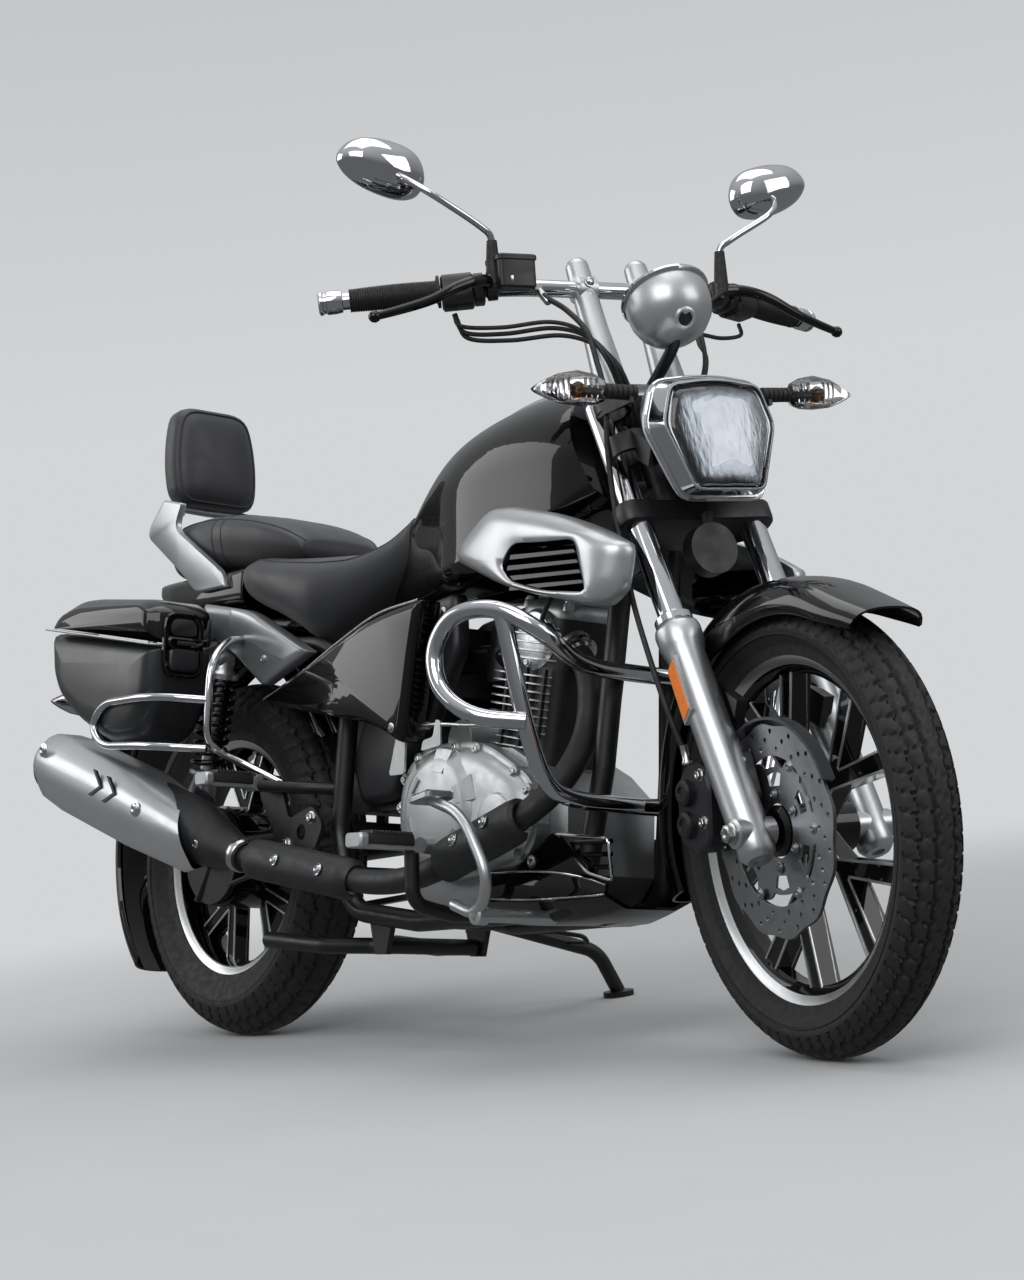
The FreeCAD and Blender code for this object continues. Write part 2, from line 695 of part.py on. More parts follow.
def handlebar(yokes):
    place = STEERED
    inner, tip = grip_points()
    right = [ahead(985, 0, 1123), ahead(985, 66, 1123), ahead(966, 150, 1128), inner, tip]
    points = [VECTOR(point.x, -point.y, point.z) for point in reversed(right[1:])] + right[1:]
    bar = tube("handlebar_tube", s.bar_radius, points, 70)
    room = tube("bar_room", s.bar_radius + s.fit_gap / 2, points, 70)
    foot = on_stem(s.upper_clamp + s.upper_yoke_thick / 2, 0, 16)
    top = ahead(969, 0, 1160)

    def riser(tag, hand):
        out = ACROSS * float(hand * s.riser_half)
        arm = rod_between(f"riser_{tag}", s.riser_radius, foot + out, top + out)
        clamp = rod(f"bar_clamp_{tag}", s.riser_radius + 4, 30, ahead(985, 0, 1123) + out - ACROSS * 15, ACROSS)
        return fused(f"riser_body_{tag}", [arm, ball(f"riser_top_{tag}", s.riser_radius, top + out), clamp])

    keep("fork_yokes", [fused("yokes_and_risers", yokes + each_side(riser))], place, [room])
    along = (tip - inner).normalize()

    def at(hand, distance):
        point = inner + along * float(distance)
        return VECTOR(point.x, hand * point.y, point.z)

    def on_bar(name, hand, radius, length, distance):
        return rod(name, radius, length, at(hand, distance), at(hand, 1) - at(hand, 0))

    keep("grips", each_side(lambda tag, hand: fused(f"grip_body_{tag}", [
        on_bar(f"grip_{tag}", hand, s.grip_radius, s.grip_length, 6),
        on_bar(f"grip_flange_{tag}", hand, s.grip_radius + 6, 5, 1)])), place, [room])
    ends = each_side(lambda tag, hand: on_bar(
        f"bar_end_{tag}", hand, s.bar_end_radius, s.bar_end_length, (tip - inner).Length))
    keep("handlebar", [fused("bar_and_ends", [bar] + ends)], place)

    def switch(tag, hand):
        case = on_bar(f"switch_{tag}", hand, 22, 44, -45)
        box = block(f"switch_box_{tag}", 32, 28, 32, at(hand, -29) + VECTOR(-12, 0, -6))
        return fused(f"switch_body_{tag}", [case, box])

    switches = each_side(switch)

    def perch(tag, hand):
        clamp = on_bar(f"perch_clamp_{tag}", hand, 20, 35, -78)
        pivot = ahead(968, hand * 188, 1131)
        arm = rod_between(f"perch_arm_{tag}", 9, at(hand, -66), pivot)
        pieces = [clamp, arm, rod(f"perch_pivot_{tag}", 11, 22, pivot - UP * 11),
                  rod(f"mirror_boss_{tag}", 9, 26, at(hand, -66))]
        if hand < 0:
            pieces.append(block("brake_reservoir", 48, 62, 30, at(hand, -76) + VECTOR(12, 0, 30)))
        return fused(f"perch_{tag}", pieces)

    perches = each_side(perch)
    keep("bar_controls", [fused(f"controls_{number}", list(pair))
                          for number, pair in enumerate(zip(switches, perches))], place, [room])

    def lever(tag, hand):
        points = [ahead(977, hand * 194, 1131), ahead(1000, hand * 236, 1128), ahead(1000, hand * 320, 1088),
                  ahead(986, hand * 396, 1072)]
        blade = tube(f"lever_{tag}", 5.5, points, 90)
        return fused(f"lever_body_{tag}", [blade, ball(f"lever_ball_{tag}", 9, points[-1])])

    keep("hand_levers", each_side(lever), place, perches + switches)

    def stem(tag, hand):
        start = at(hand, -66) + UP * 12
        return tube(f"mirror_stem_{tag}", s.mirror_stem, [
            start, start + VECTOR(16, 0, 40), ahead(988, hand * 292, 1262), ahead(928, hand * 320, 1303)], 30)

    stems = each_side(stem)

    def head(tag, hand):
        rings = []
        for deep, half, tall in ((-22, 60, 36), (-16, 66, 42), (4, 56, 36), (22, 30, 20)):
            def place_at(a, u, deep=deep):
                slant = hand * a * 0.22
                return ahead(922 + deep, hand * 332 + a, 1312 + u + slant)
            rings.append(ring_of(place_at, half, -tall, tall, tall * 0.85, tall * 0.85))
        return loft(f"mirror_head_{tag}", rings)

    keep("mirrors", [fused(f"mirror_{number}", list(pair))
                     for number, pair in enumerate(zip(stems, each_side(head)))], place, perches)


def lamps(fork_tubes, yokes):
    place = STEERED
    shell = stations("lamp_shell", [(1138, 46, 845, 925, 34, 34), (1190, 66, 830, 938, 40, 40),
                                    (1212, 84, 790, 936, 40, 45), (1236, 94, 782, 932, 34, 46)], place=ahead)
    keep("headlight_shell", [shell], place, yokes + fork_tubes)
    outer = [(-84, 870), (-52, 775), (52, 775), (84, 870), (70, 927), (-70, 927)]
    inner = [(-70, 868), (-42, 787), (42, 787), (70, 868), (58, 917), (-58, 917)]

    def facing(name, rows):
        rings = []
        for corners, forward in rows:
            points = [ahead(forward - (z - 850) * 0.14, y, z) for y, z in corners]
            rings.append(Part.makePolygon(points + points[:1]))
        item = loft(name, rings)
        item.Ruled = True
        return item

    wide = [(y * 1.14, 850 + (z - 850) * 1.06) for y, z in outer]
    rim = facing("bezel_rim", [(wide, 1237), (wide, 1252), (outer, 1268)])
    glass = facing("lens_glass", [(inner, 1240), (inner, 1264), ([(y * 0.6, 850 + (z - 850) * 0.6)
                                                                  for y, z in inner], 1276)])
    keep("headlight_bezel", [rim], place, [glass, shell])
    keep("headlight_lens", [glass], place, [shell])

    def bracket(tag, hand):
        ring = rod(f"lamp_ring_{tag}", s.fork_tube + 7, 30, on_fork(595, hand * s.fork_half), FORK)
        ear = block(f"lamp_ear_{tag}", 80, 26, 34, ahead(1182, hand * 78, 852), 25)
        return fused(f"lamp_bracket_{tag}", [ring, ear])

    brackets = each_side(bracket)
    pod_foot = ahead(1150, 0, 1035)
    pod = rod("gauge_pod", s.gauge_radius, s.gauge_depth, pod_foot, VECTOR(-0.5, 0, 0.87))
    rim = rod("gauge_rim", s.gauge_radius + 4, 8, pod_foot + VECTOR(-0.5, 0, 0.87) * (s.gauge_depth - 7),
              VECTOR(-0.5, 0, 0.87))
    tongue = rod_between("gauge_tongue", 15, on_fork(s.upper_clamp, 0, 12), pod_foot + VECTOR(-8, 0, 14))
    keep("gauge", [fused("gauge_body", [pod, rim, tongue])], place, yokes)

    def blinker(tag, hand):
        ring = rod(f"blinker_ring_{tag}", s.fork_tube + 7, 18, on_fork(672, hand * s.fork_half), FORK)
        arm = block(f"blinker_arm_{tag}", 104, 6, 22, ahead(1166, hand * 113, 917), -2)
        stalk = rod_between(f"blinker_stalk_{tag}", 8, ahead(1207, hand * 112, 921), ahead(1204, hand * 205, 926))
        return fused(f"blinker_mount_{tag}", [ring, arm, stalk])

    mounts = each_side(blinker)

    def lamp(tag, hand):
        return stations(f"blinker_{tag}", [(1176, 24, 910, 942, 14, 14), (1190, 32, 902, 950, 20, 20),
                                           (1218, 33, 903, 949, 20, 20), (1232, 24, 912, 940, 12, 12)],
                        hand * 228, ahead)

    keep("front_blinkers", each_side(lamp), place, mounts)
    horn = rod("horn_cup", 37, 26, ahead(1196, 0, 700), VECTOR(1, 0, 0.1))
    strap = rod_between("horn_strap", 9, ahead(1204, 0, 710), on_fork(s.lower_clamp, 0, 14))
    return brackets + mounts + [fused("horn_body", [horn, strap])], [shell] + fork_tubes + yokes


def front_fender(sliders, brackets, neighbours):
    inner = s.front_tyre_radius + s.fender_room
    outer = inner + s.fender_sheet
    half, edge = s.fender_half, inner - s.fender_skirt
    shell = spun("fender_shell", [(-half, edge), (-half, outer - 14), (-half + 18, outer), (half - 18, outer),
                                  (half, outer - 14), (half, edge), (half - 4, edge), (half - 4, inner - 14),
                                  (half - 20, inner), (20 - half, inner), (4 - half, inner - 14),
                                  (4 - half, edge)], s.fender_front + s.fender_back)
    shell.Placement = FreeCAD.Placement(FRONT, FreeCAD.Rotation(ACROSS, -s.fender_back))
    trim = block("fender_front_trim", 220, 200, 200, FRONT + VECTOR(214, 0, 158), -28)
    shaped = cut("fender_shaped", shell, [trim])
    keep("front_fender", [shaped], STEERED)

    def stay(tag, hand):
        reach = s.fork_half - s.slider_radius - half + 12
        middle = hand * float(half + reach / 2)
        return block(f"fender_stay_{tag}", 96, reach, 44, on_fork(198, 0, -6) + ACROSS * middle, 25)

    keep("fork_brackets", brackets + each_side(stay), STEERED, neighbours + sliders + [shell])


def front_brake(sliders):
    hub = front_hub_half()
    disc_out, disc_in = hub - 1, hub - 1 - s.disc_thick
    grip = plate("caliper_block", [(1236, 300), (1240, 372), (1284, 400), (1318, 372), (1314, 296)],
                 -58, 44, place=ahead)
    mount = plate("caliper_mount", [(1290, 310), (1290, 392), (1370, 412), (1392, 345), (1350, 312)],
                  -75, 16, place=ahead)
    slot = rod("disc_slot", s.disc_radius + 4, s.disc_thick + s.pad_gap * 2,
               FRONT - ACROSS * float(disc_out + s.pad_gap), ACROSS)
    keep("front_caliper", [fused("caliper_body", [grip, mount])], STEERED, [slot] + sliders)


def frame():
    rail, spine, seat = s.frame_tube, s.backbone_radius, s.seat_tube
    low = s.lower_clamp + s.lower_yoke_thick / 2 + s.bearing_gap
    high = s.upper_clamp - s.upper_yoke_thick / 2 - s.bearing_gap
    head = rod("head_tube", s.head_tube_radius, high - low, on_stem(low), FORK)
    spine_end = on_stem(low + (high - low) * 0.22, 0, -6)
    pieces = [head, tube("backbone", spine, [spine_end, (960, 0, 815), (640, 0, 742), (455, 0, 690)], 300)]
    for tag, hand in (("right", -1), ("left", 1)):
        pieces.append(tube(f"cradle_{tag}", rail, [
            on_stem(low + 46, hand * 12, -4), (1062, hand * 40, 760), (1040, hand * 62, 400),
            (1010, hand * 78, 200), (640, hand * 96, 186), (470, hand * 104, 205), (430, hand * 104, 330),
            (440, hand * 96, 560), (505, hand * 9, 706)], 60))
        pieces.append(tube(f"seat_rail_{tag}", seat, [
            (448, hand * 85.3, 578), (380, hand * 108, 640), (240, hand * 118, 652), (60, hand * 122, 705),
            (-160, hand * 112, 760)], 80))
        pieces.append(block(f"shock_gusset_{tag}", 34, 14, 60, (134, hand * 124, 652)))
        pieces.append(rod_between(f"shock_stud_{tag}", s.stud_radius, (130, hand * 118, 632),
                                  (130, hand * float(s.shock_out + s.shock_coil), 632)))
        lug = plate(f"centre_lug_{tag}", [(508, 196), (572, 196), (556, 136), (526, 136)], hand * 93, 10)
        pieces.append(lug)
        pieces.append(rod_between(f"centre_pin_{tag}", 6, (540, hand * 60, 150), (540, hand * 98, 150)))
        pieces.append(tube(f"peg_arm_{tag}", 11, [(800, hand * 92, 192), (800, hand * 150, 192),
                                                  (800, hand * 222, 206), (800, hand * 226, 284)], 30))
        pieces.append(tube(f"passenger_arm_{tag}", 10, [(432, hand * 100, 400), (380, hand * 138, 402),
                                                        (300, hand * 176, 408)], 30))
    pieces.append(cross_rod("fender_cross", 10, 122, 60, 705))
    pieces.append(cross_rod("tail_cross", 9, 113, -140, 755))
    pieces.append(cross_rod("pivot_cross", 14, 104, 446, 262))
    pieces.append(cross_rod("lower_cross", 11, 98, 620, 187))
    cheek = block("stand_cheeks", 72, 36, 62, (467, 119, 221))
    room = rod("stand_room", 62, s.stand_boss + s.fit_gap * 2,
               STAND_PIVOT - STAND_AXIS * float(s.stand_boss / 2 + s.fit_gap), STAND_AXIS)
    pieces.append(cut("stand_clevis", cheek, [room]))
    pieces.append(rod("stand_pin_bar", s.stand_pin, 54, STAND_PIVOT - STAND_AXIS * 27, STAND_AXIS))
    bore = rod("head_bore", s.stem_radius + s.running_gap, 600, on_stem(400), FORK)
    tubes = fused("frame_tubes", pieces)
    keep("frame", [tubes], carve=[bore])
    return tubes


def engine(tubes):
    half = s.engine_half
    case = plate("crankcase_block", [(604, 250), (594, 330), (608, 420), (668, 446), (780, 448), (850, 440),
                                     (930, 402), (984, 360), (984, 250), (940, 196), (660, 190)], 0, half * 2)
    starter = cross_rod("starter", 30, half - 14, 700, 464)
    keep("crankcase", [fused("crankcase_body", [case, starter])], carve=[tubes])
    near = float(half + s.fit_gap)
    right = side_form("clutch_plate", [(600, 322), (602, 388), (620, 428), (671, 453), (774, 455), (829, 442),
                                       (923, 393), (945, 356), (940, 296), (896, 258), (700, 244), (632, 268)],
                      [(-near, 0), (-near - 36, 0), (-near - 46, 9)])
    dome = cone("clutch_dome", 82, 60, 26, (728, -near - 34, 352), -ACROSS)
    boss = cone("crank_dome", 46, 34, 18, (872, -near - 34, 328), -ACROSS)
    horn = plate("clutch_arm", [(622, 404), (626, 490), (646, 496), (664, 420)], -near - 24, 14)
    clutch = fused("clutch_cover_body", [right, dome, boss, horn])
    left = side_form("magneto_plate", [(560, 262), (560, 350), (640, 402), (790, 424), (880, 400), (946, 350),
                                       (946, 262), (880, 226), (640, 226)], [(near, 0), (near + 20, 0),
                                                                             (near + 30, 9)])
    drum = cone("magneto_drum", 84, 74, 30, (850, near + 22, 322), ACROSS)
    covers = [clutch, fused("magneto_body", [left, drum])]
    keep("engine_covers", covers, carve=[tubes])
    up = VECTOR(math.sin(math.radians(10)), 0, math.cos(math.radians(10)))
    base = spot(850, 0, 427)

    def slab(name, length, width, height, along_bore, out=0.0):
        return block(name, length, width, height, base + up * float(along_bore) + VECTOR(out, 0, 0), 10)

    core = rod("barrel", 58, 150, base - up * 10, up)
    fins = [slab(f"barrel_fin_{row}", 150, 150, s.fin_thick, s.fin_step * row + 16) for row in range(10)]
    keep("cylinder", [fused("finned_barrel", [core] + fins)], carve=[case])
    head = slab("head_block", 146, 128, 70, 175)
    fins = [slab(f"head_fin_{row}", 160, 148, s.fin_thick, s.fin_step * row + 148) for row in range(5)]
    rocker = side_form("rocker_cover", [(850, 630), (842, 664), (862, 682), (920, 672), (934, 654), (930, 616)],
                       [(-58, 8), (-50, 0), (50, 0), (58, 8)])
    port = rod_between("exhaust_port", s.pipe_radius + 9, (900, -34, 596), (950, -36, 578))
    finned = fused("finned_head", [head, rocker, port] + fins)
    keep("cylinder_head", [finned], carve=[core])
    box = fused("intake_boxes", [block("air_box", 120, 150, 110, (560, 0, 600), 4),
                                 block("battery_box", 176, 128, 196, (474, 0, 462))])
    neck = rod_between("intake", 22, (560, 0, 600), (800, 0, 592))
    bowl = fused("carburettor_bowl", [rod("bowl", 24, 52, (716, 0, 556)), rod("slide_top", 19, 44, (716, 0, 600))])
    keep("carburettor", [fused("intake_body", [box, neck, bowl])], carve=[tubes, finned])
    return finned, case, covers


def exhaust(head, tubes):
    points = [(948, -36, 579), (985, -42, 540), (1004, -60, 450), (1012, -120, 372), (985, -168, 325),
              (880, -182, 282), (760, -182, 246), (640, -182, 240), (330, -222, 290)]
    pipe = tube("header", s.pipe_radius, points, 50)
    keep("exhaust_pipe", [pipe], carve=[head, tubes])
    start, end, along = MUFFLER_START, OUTLET_END, OUTLET_ALONG
    body = cone("muffler_front", 26, s.muffler_radius, s.muffler_cone, start, along)
    can = rod_between("muffler_can", s.muffler_radius, start + along * float(s.muffler_cone), end)
    outlet = rod_between("muffler_outlet", s.outlet_radius, end - along * float(s.outlet_depth), end + along * 50)
    silencer = fused("muffler_body", [body, can])
    keep("muffler", [silencer], carve=[pipe, outlet])
    rise = (VECTOR(0, 0, 1) - along * along.z).normalize()
    side = rise.cross(along)
    run = (end - start).Length

    def shell_place(share):
        return lambda across, up: start + along * (run * share) + side * across + rise * up

    reach = float(s.muffler_radius)
    shell = loft("muffler_shell", [ring_of(shell_place(share), reach + wide, -reach - low, reach + high, 26, 26)
                                   for share, wide, low, high in ((0.2, 4, 6, 6), (0.5, 8, 14, 8),
                                                                  (0.86, 8, 12, 6), (0.995, 3, 4, 4))])
    front = plate("shell_front", [(262, 440), (14, 255), (480, 200), (480, 460)], -250, 300)
    sleeves = [rod_between("header_shield", s.pipe_radius + 10, (985, -170, 324), (832, -183, 268)),
               rod_between("pipe_shield", s.pipe_radius + 10, (600, -187, 246), (352, -219, 287))]
    keep("heat_shields", [cut("muffler_sleeve", shell, [front])] + sleeves, carve=[silencer, pipe])
    return pipe, silencer


def bodywork(tubes, head):
    rows = ((442, 30, 690, 750), (520, 56, 688, 828), (620, 84, 688, 908), (740, 126, 690, 953),
            (880, 134, 706, 974), (990, 126, 740, 967), (1080, 92, 790, 925))
    tank = stations("tank_shell", [(x, half, low, high, half * 0.93, min(half, 60) * 0.6)
                                   for x, half, low, high in rows])
    front_room = block("fork_room", 200, 400, 900, VECTOR(100, 0, 450))
    front_room.Placement = (FreeCAD.Placement(on_stem(200, 0, -s.tank_gap), turned(FORK))
                            * front_room.Placement)
    spine_end = on_stem(s.upper_clamp, 0, 60)
    tunnel = tube("tank_tunnel", s.backbone_radius + s.fit_gap, [
        spine_end, (960, 0, 815), (640, 0, 742), (355, 0, 662)], 300)
    slot = block("tunnel_slot", 330, 52, 140, (800, 0, 708), 12.8)
    keep("tank", [tank], carve=[tunnel, front_room, tubes, slot])
    strip = stations("console", [(640, 24, 880, 925, 10, 8), (760, 34, 920, 968, 12, 8),
                                 (880, 36, 940, 982, 12, 8), (980, 26, 940, 974, 10, 8)])
    cap = rod("fuel_cap", 34, 16, (872, 0, 978), VECTOR(-0.04, 0, 1))
    keep("tank_console", [fused("console_and_cap", [strip, cap])], carve=[tank])
    seat = stations("rider_cushion", [(134, 122, 742, 800, 32, 20), (226, 144, 704, 802, 40, 30),
                                      (300, 150, 666, 798, 40, 40), (368, 146, 634, 792, 40, 40),
                                      (430, 120, 668, 786, 36, 34), (500, 84, 716, 806, 34, 20),
                                      (545, 66, 744, 838, 30, 16)])
    keep("rider_seat", [seat], carve=[tubes, tank])
    cowl = stations("cowl_shell", [(-196, 90, 772, 807, 12, 8), (-100, 114, 728, 807, 12, 10),
                                   (40, 124, 716, 803, 12, 10), (133, 122, 716, 803, 12, 10)])
    keep("tail_cowl", [cowl], carve=[tubes, seat])
    pillion = stations("pillion_cushion", [(-190, 90, 807.3, 900, 34, 10), (-100, 118, 807.3, 912, 36, 12),
                                           (60, 122, 803.3, 904, 36, 12), (132, 112, 803.3, 868, 30, 12)])
    keep("pillion_seat", [pillion], carve=[cowl, seat])
    bar = cross_rod("back_bar", 8, 124, -184, 938)
    blades = [plate(f"back_blade_{tag}", [(30, 742), (-16, 742), (-20, 800), (-150, 886), (-196, 930),
                                          (-192, 950), (-172, 950), (-126, 902), (22, 806)], hand * 127, 6)
              for tag, hand in (("right", -1), ("left", 1))]
    keep("backrest_bracket", [fused("back_frame", [bar] + blades)], carve=[cowl, tubes, pillion])
    rows = ((944, 82, 20), (962, 92, 26), (1112, 86, 26), (1138, 72, 20))

    def back_place(z):
        return lambda across, up: spot(-190 + up - (z - 940) * 0.12, across, z)

    back = loft("back_cushion", [ring_of(back_place(z), half, -thick, thick, thick * 0.9, thick * 0.9)
                                 for z, half, thick in rows])
    keep("backrest", [back], carve=[bar])
    top = s.rear_tyre_radius + 55
    shell = spun("rear_fender_shell", [(-84, top - 62), (-84, top - 17), (-60, top + 4), (60, top + 4),
                                       (84, top - 17), (84, top - 62), (80, top - 62), (80, top - 19),
                                       (58, top), (-58, top), (-80, top - 19), (-80, top - 62)], 122)
    shell.Placement = FreeCAD.Placement(REAR + VECTOR(0, 0, 30), FreeCAD.Rotation(ACROSS, -96))
    keep("rear_fender", [shell], carve=[tubes])
    lamp = stations("tail_housing", [(-470, 44, 590, 640, 12, 12), (-420, 52, 560, 640, 14, 14),
                                     (-262, 46, 500, 590, 14, 14)])
    room = rod("housing_room", top + 4, 240, REAR + VECTOR(0, -120, 30), ACROSS)
    red = side_form("tail_lens_form", [(-500, 596), (-500, 634), (-452, 638), (-452, 590)],
                    [(-46, 5), (-40, 0), (40, 0), (46, 5)])
    keep("tail_light", [red])
    plate_at = plate("number_plate_board", [(-436, 430), (-430, 430), (-474, 590), (-480, 590)], 0, 150)
    arm = rod_between("plate_arm", 9, (-398, 0, 566), (-452, 0, 500))
    keep("tail_housing", [fused("tail_housing_body", [cut("housing_cut", lamp, [room, red]), plate_at, arm])],
         carve=[red])

    def rear_blinker(tag, hand):
        stalk = rod_between(f"rear_stalk_{tag}", 8, (-392, hand * 30, 590), (-392, hand * 112, 600))
        lens = stations(f"rear_blinker_{tag}", [(-424, 20, 582, 612, 12, 12), (-408, 28, 575, 620, 18, 18),
                                                (-386, 28, 575, 620, 18, 18), (-370, 20, 584, 610, 12, 12)],
                        hand * 134)
        return fused(f"rear_blinker_body_{tag}", [stalk, lens])

    keep("rear_blinkers", each_side(rear_blinker), carve=[lamp])
    return tank, seat, cowl, shell


def side_panels(tubes, tank, seat, cowl, coils):
    def tail(tag, hand):
        return side_form(f"tail_panel_{tag}", [(55, 736), (226, 701), (368, 628), (233, 582), (150, 655),
                                               (65, 690)], [(hand * 126, 0), (hand * 146, 0), (hand * 152, 8)])

    panels = each_side(tail)
    keep("tail_panels", panels, carve=[tubes, seat, cowl] + coils)

    def cover(tag, hand):
        return side_form(f"side_cover_{tag}", [(234, 573), (700, 668), (626, 632), (520, 470), (357, 556)],
                         [(hand * 110, 4), (hand * 146, 0), (hand * 156, 10)])

    keep("side_covers", each_side(cover), carve=[tubes, tank, seat])

    def scoop(tag, hand):
        edge = [(807, 721), (873, 769), (904, 783), (952, 780), (1058, 755), (1158, 719), (1214, 690),
                (1202, 629), (1160, 608), (1094, 624), (955, 657)]
        body = side_form(f"scoop_body_{tag}", edge, [(hand * 148, 6), (hand * 168, 0), (hand * 196, 12)])
        mouth = side_form(f"scoop_mouth_{tag}", [(1120, 704), (984, 716), (962, 686), (982, 665), (1052, 643),
                                                 (1150, 632)], [(hand * 160, 6), (hand * 200, 0)])
        opened = cut(f"scoop_open_{tag}", body, [mouth])
        slats = [block(f"scoop_slat_{row}_{tag}", 170, 22, 5, (1056, hand * 172, 658 + row * 16), 6)
                 for row in range(3)]
        posts = [rod_between(f"scoop_post_{row}_{tag}", 10, (x, hand * 60, z), (x, hand * 152, z))
                 for row, (x, z) in enumerate(((890, 745), (1010, 752)))]
        return fused(f"scoop_whole_{tag}", [opened] + slats + posts)

    keep("tank_scoops", each_side(scoop), carve=[tank, tubes])
    return panels


def chassis(tubes, magneto_half):
    eye = REAR
    arms = []
    for tag, hand in (("right", -1), ("left", 1)):
        end = eye + VECTOR(-30, hand * 112, 0)
        arms.append(tube(f"swingarm_{tag}", s.arm_radius, [
            (425, hand * 84, 330), (330, hand * 98, 324), end], 300))
        arms.append(rod_between(f"axle_stud_{tag}", s.stud_radius, eye + VECTOR(60, hand * 106, 30),
                                eye + VECTOR(60, hand * float(s.shock_out + s.shock_coil), 30)))
        arms.append(block(f"shock_ear_{tag}", 36, 14, 40, eye + VECTOR(60, hand * 112, 20)))
    pivot = cross_rod("swingarm_pivot", s.pivot_radius, 87, 425, 330)
    axle = rod("rear_axle_bar", s.axle_radius, 290, eye - ACROSS * 145, ACROSS)
    arm = fused("swingarm_tubes", arms + [pivot])
    pieces = [arm, axle]
    guard = side_form("guard_shell", [(-96, 432), (-96, 442), (520, 396), (540, 384), (520, 376)],
                      [(68, 0), (98, 0)])
    leg = block("guard_leg", 26, 8, 90, (262, 94, 368))
    pieces += [guard, leg]
    coils = []

    def shock(tag, hand):
        low = eye + VECTOR(60, hand * float(s.shock_out), 30)
        high = spot(130, hand * float(s.shock_out), 632)
        run = high - low
        body = rod(f"shock_body_{tag}", s.shock_body, run.Length * 0.42, low + run * 0.04, run)
        shaft = rod(f"shock_shaft_{tag}", 9, run.Length * 0.6, low + run * 0.36, run)
        rings = [rod(f"shock_coil_{row}_{tag}", s.shock_coil, 8, low + run * (0.34 + 0.062 * row), run)
                 for row in range(10)]
        eyes = [rod(f"shock_eye_{row}_{tag}", 16, 26, at - ACROSS * 13, ACROSS)
                for row, at in enumerate((low, high))]
        inner = rod(f"shock_sleeve_{tag}", s.shock_body - 2, run.Length * 0.6, low + run * 0.34, run)
        coils.append(rod_between(f"shock_room_{tag}", s.shock_coil + 3, low, low + run * 1.06))
        return fused(f"shock_{tag}_body", [body, shaft, inner] + rings + eyes)

    keep("shocks", each_side(shock), carve=[tubes, arm])
    return pieces, coils


def drive(arm, case, tubes):
    near = s.drum_half + s.fit_gap + 3.5
    back, front = REAR, spot(650, 0, 300)
    big, small = s.sprocket_radius, s.drive_sprocket_radius
    run = front - back
    tilt = math.asin((float(big) - float(small)) / run.Length)
    slope = math.atan2(run.z, run.x)

    def band(name, grow, wide):
        middle = float(near) - float(wide) / 2
        rounds = [rod(f"{name}_{number}", radius + grow, wide, centre + ACROSS * middle, ACROSS)
                  for number, (radius, centre) in enumerate(((big, back), (small, front)))]
        corners = []
        for hand in (1, -1):
            angle = slope + hand * (math.pi / 2 - tilt)
            out = VECTOR(math.cos(angle), 0, math.sin(angle))
            pair = [back + out * float(big + grow), front + out * float(small + grow)]
            corners += pair if hand > 0 else pair[::-1]
        web = doc.addObject("PartDesign::Body", f"{name}_web")
        sketch = sketch_on(web, "XZ_Plane", f"{name}_web_outline", -float(near))
        outline(sketch, [(point.x, point.z) for point in corners])
        pad = web.newObject("PartDesign::Pad", f"{name}_web_pad")
        pad.Profile = sketch
        pad.SideType = "Symmetric"
        bind(pad, Length=wide)
        return fused(name, rounds + [web])

    room = band("chain_room", 1, s.chain_wide * 3)
    loop = cut("chain_loop", band("chain_outer", s.chain_tall, s.chain_wide), [room])
    keep("chain", [loop], carve=[case])
    brake = rod("brake_drum", s.drum_radius - 4, 12, REAR - ACROSS * float(s.drum_half + 12 + 1), ACROSS)
    stay = rod_between("brake_stay", 5, REAR + VECTOR(0, -79, -62), (262, -86, 296))
    lever = rod_between("brake_arm", 6, REAR + VECTOR(-6, -82, -20), REAR + VECTOR(-40, -86, -78))
    keep("swingarm", [fused("arm_chain_guard_and_brake", arm + [brake, stay, lever])], carve=[tubes])


def guards(tubes):
    pieces = []
    for tag, hand in (("right", -1), ("left", 1)):
        pieces.append(tube(f"guard_{tag}", s.guard_tube, [
            (1064, 0, 537), (1092, hand * 150, 534), (1116, hand * 235, 572), (1060, hand * 266, 606),
            (985, hand * 292, 606), (958, hand * 302, 560), (966, hand * 302, 505), (1030, hand * 292, 456),
            (1086, hand * 236, 450)], 46))
        pieces.append(tube(f"brace_{tag}", s.guard_tube, [
            (1056, hand * 262, 606), (1076, hand * 235, 450), (1084, hand * 206, 366), (1074, hand * 150, 348),
            (1046, 0, 348)], 40))
    keep("engine_guards", [fused("guard_frame", pieces)], carve=[tubes])


def belly(tubes, covers, controls):
    pan = stations("belly_shell", [(836, 122, 186, 246, 14, 20), (900, 122, 180, 246, 14, 24),
                                   (1000, 108, 186, 262, 14, 24), (1052, 92, 204, 300, 12, 20)])
    mouth = stations("belly_mouth", [(950, 60, 216, 240, 6, 6), (1060, 80, 216, 290, 8, 8)])
    room = stations("belly_room", [(800, 86, 190, 400, 4, 4), (984, 86, 190, 400, 4, 4)])
    keep("belly_pan", [pan], carve=[tubes, mouth, room] + covers + controls)


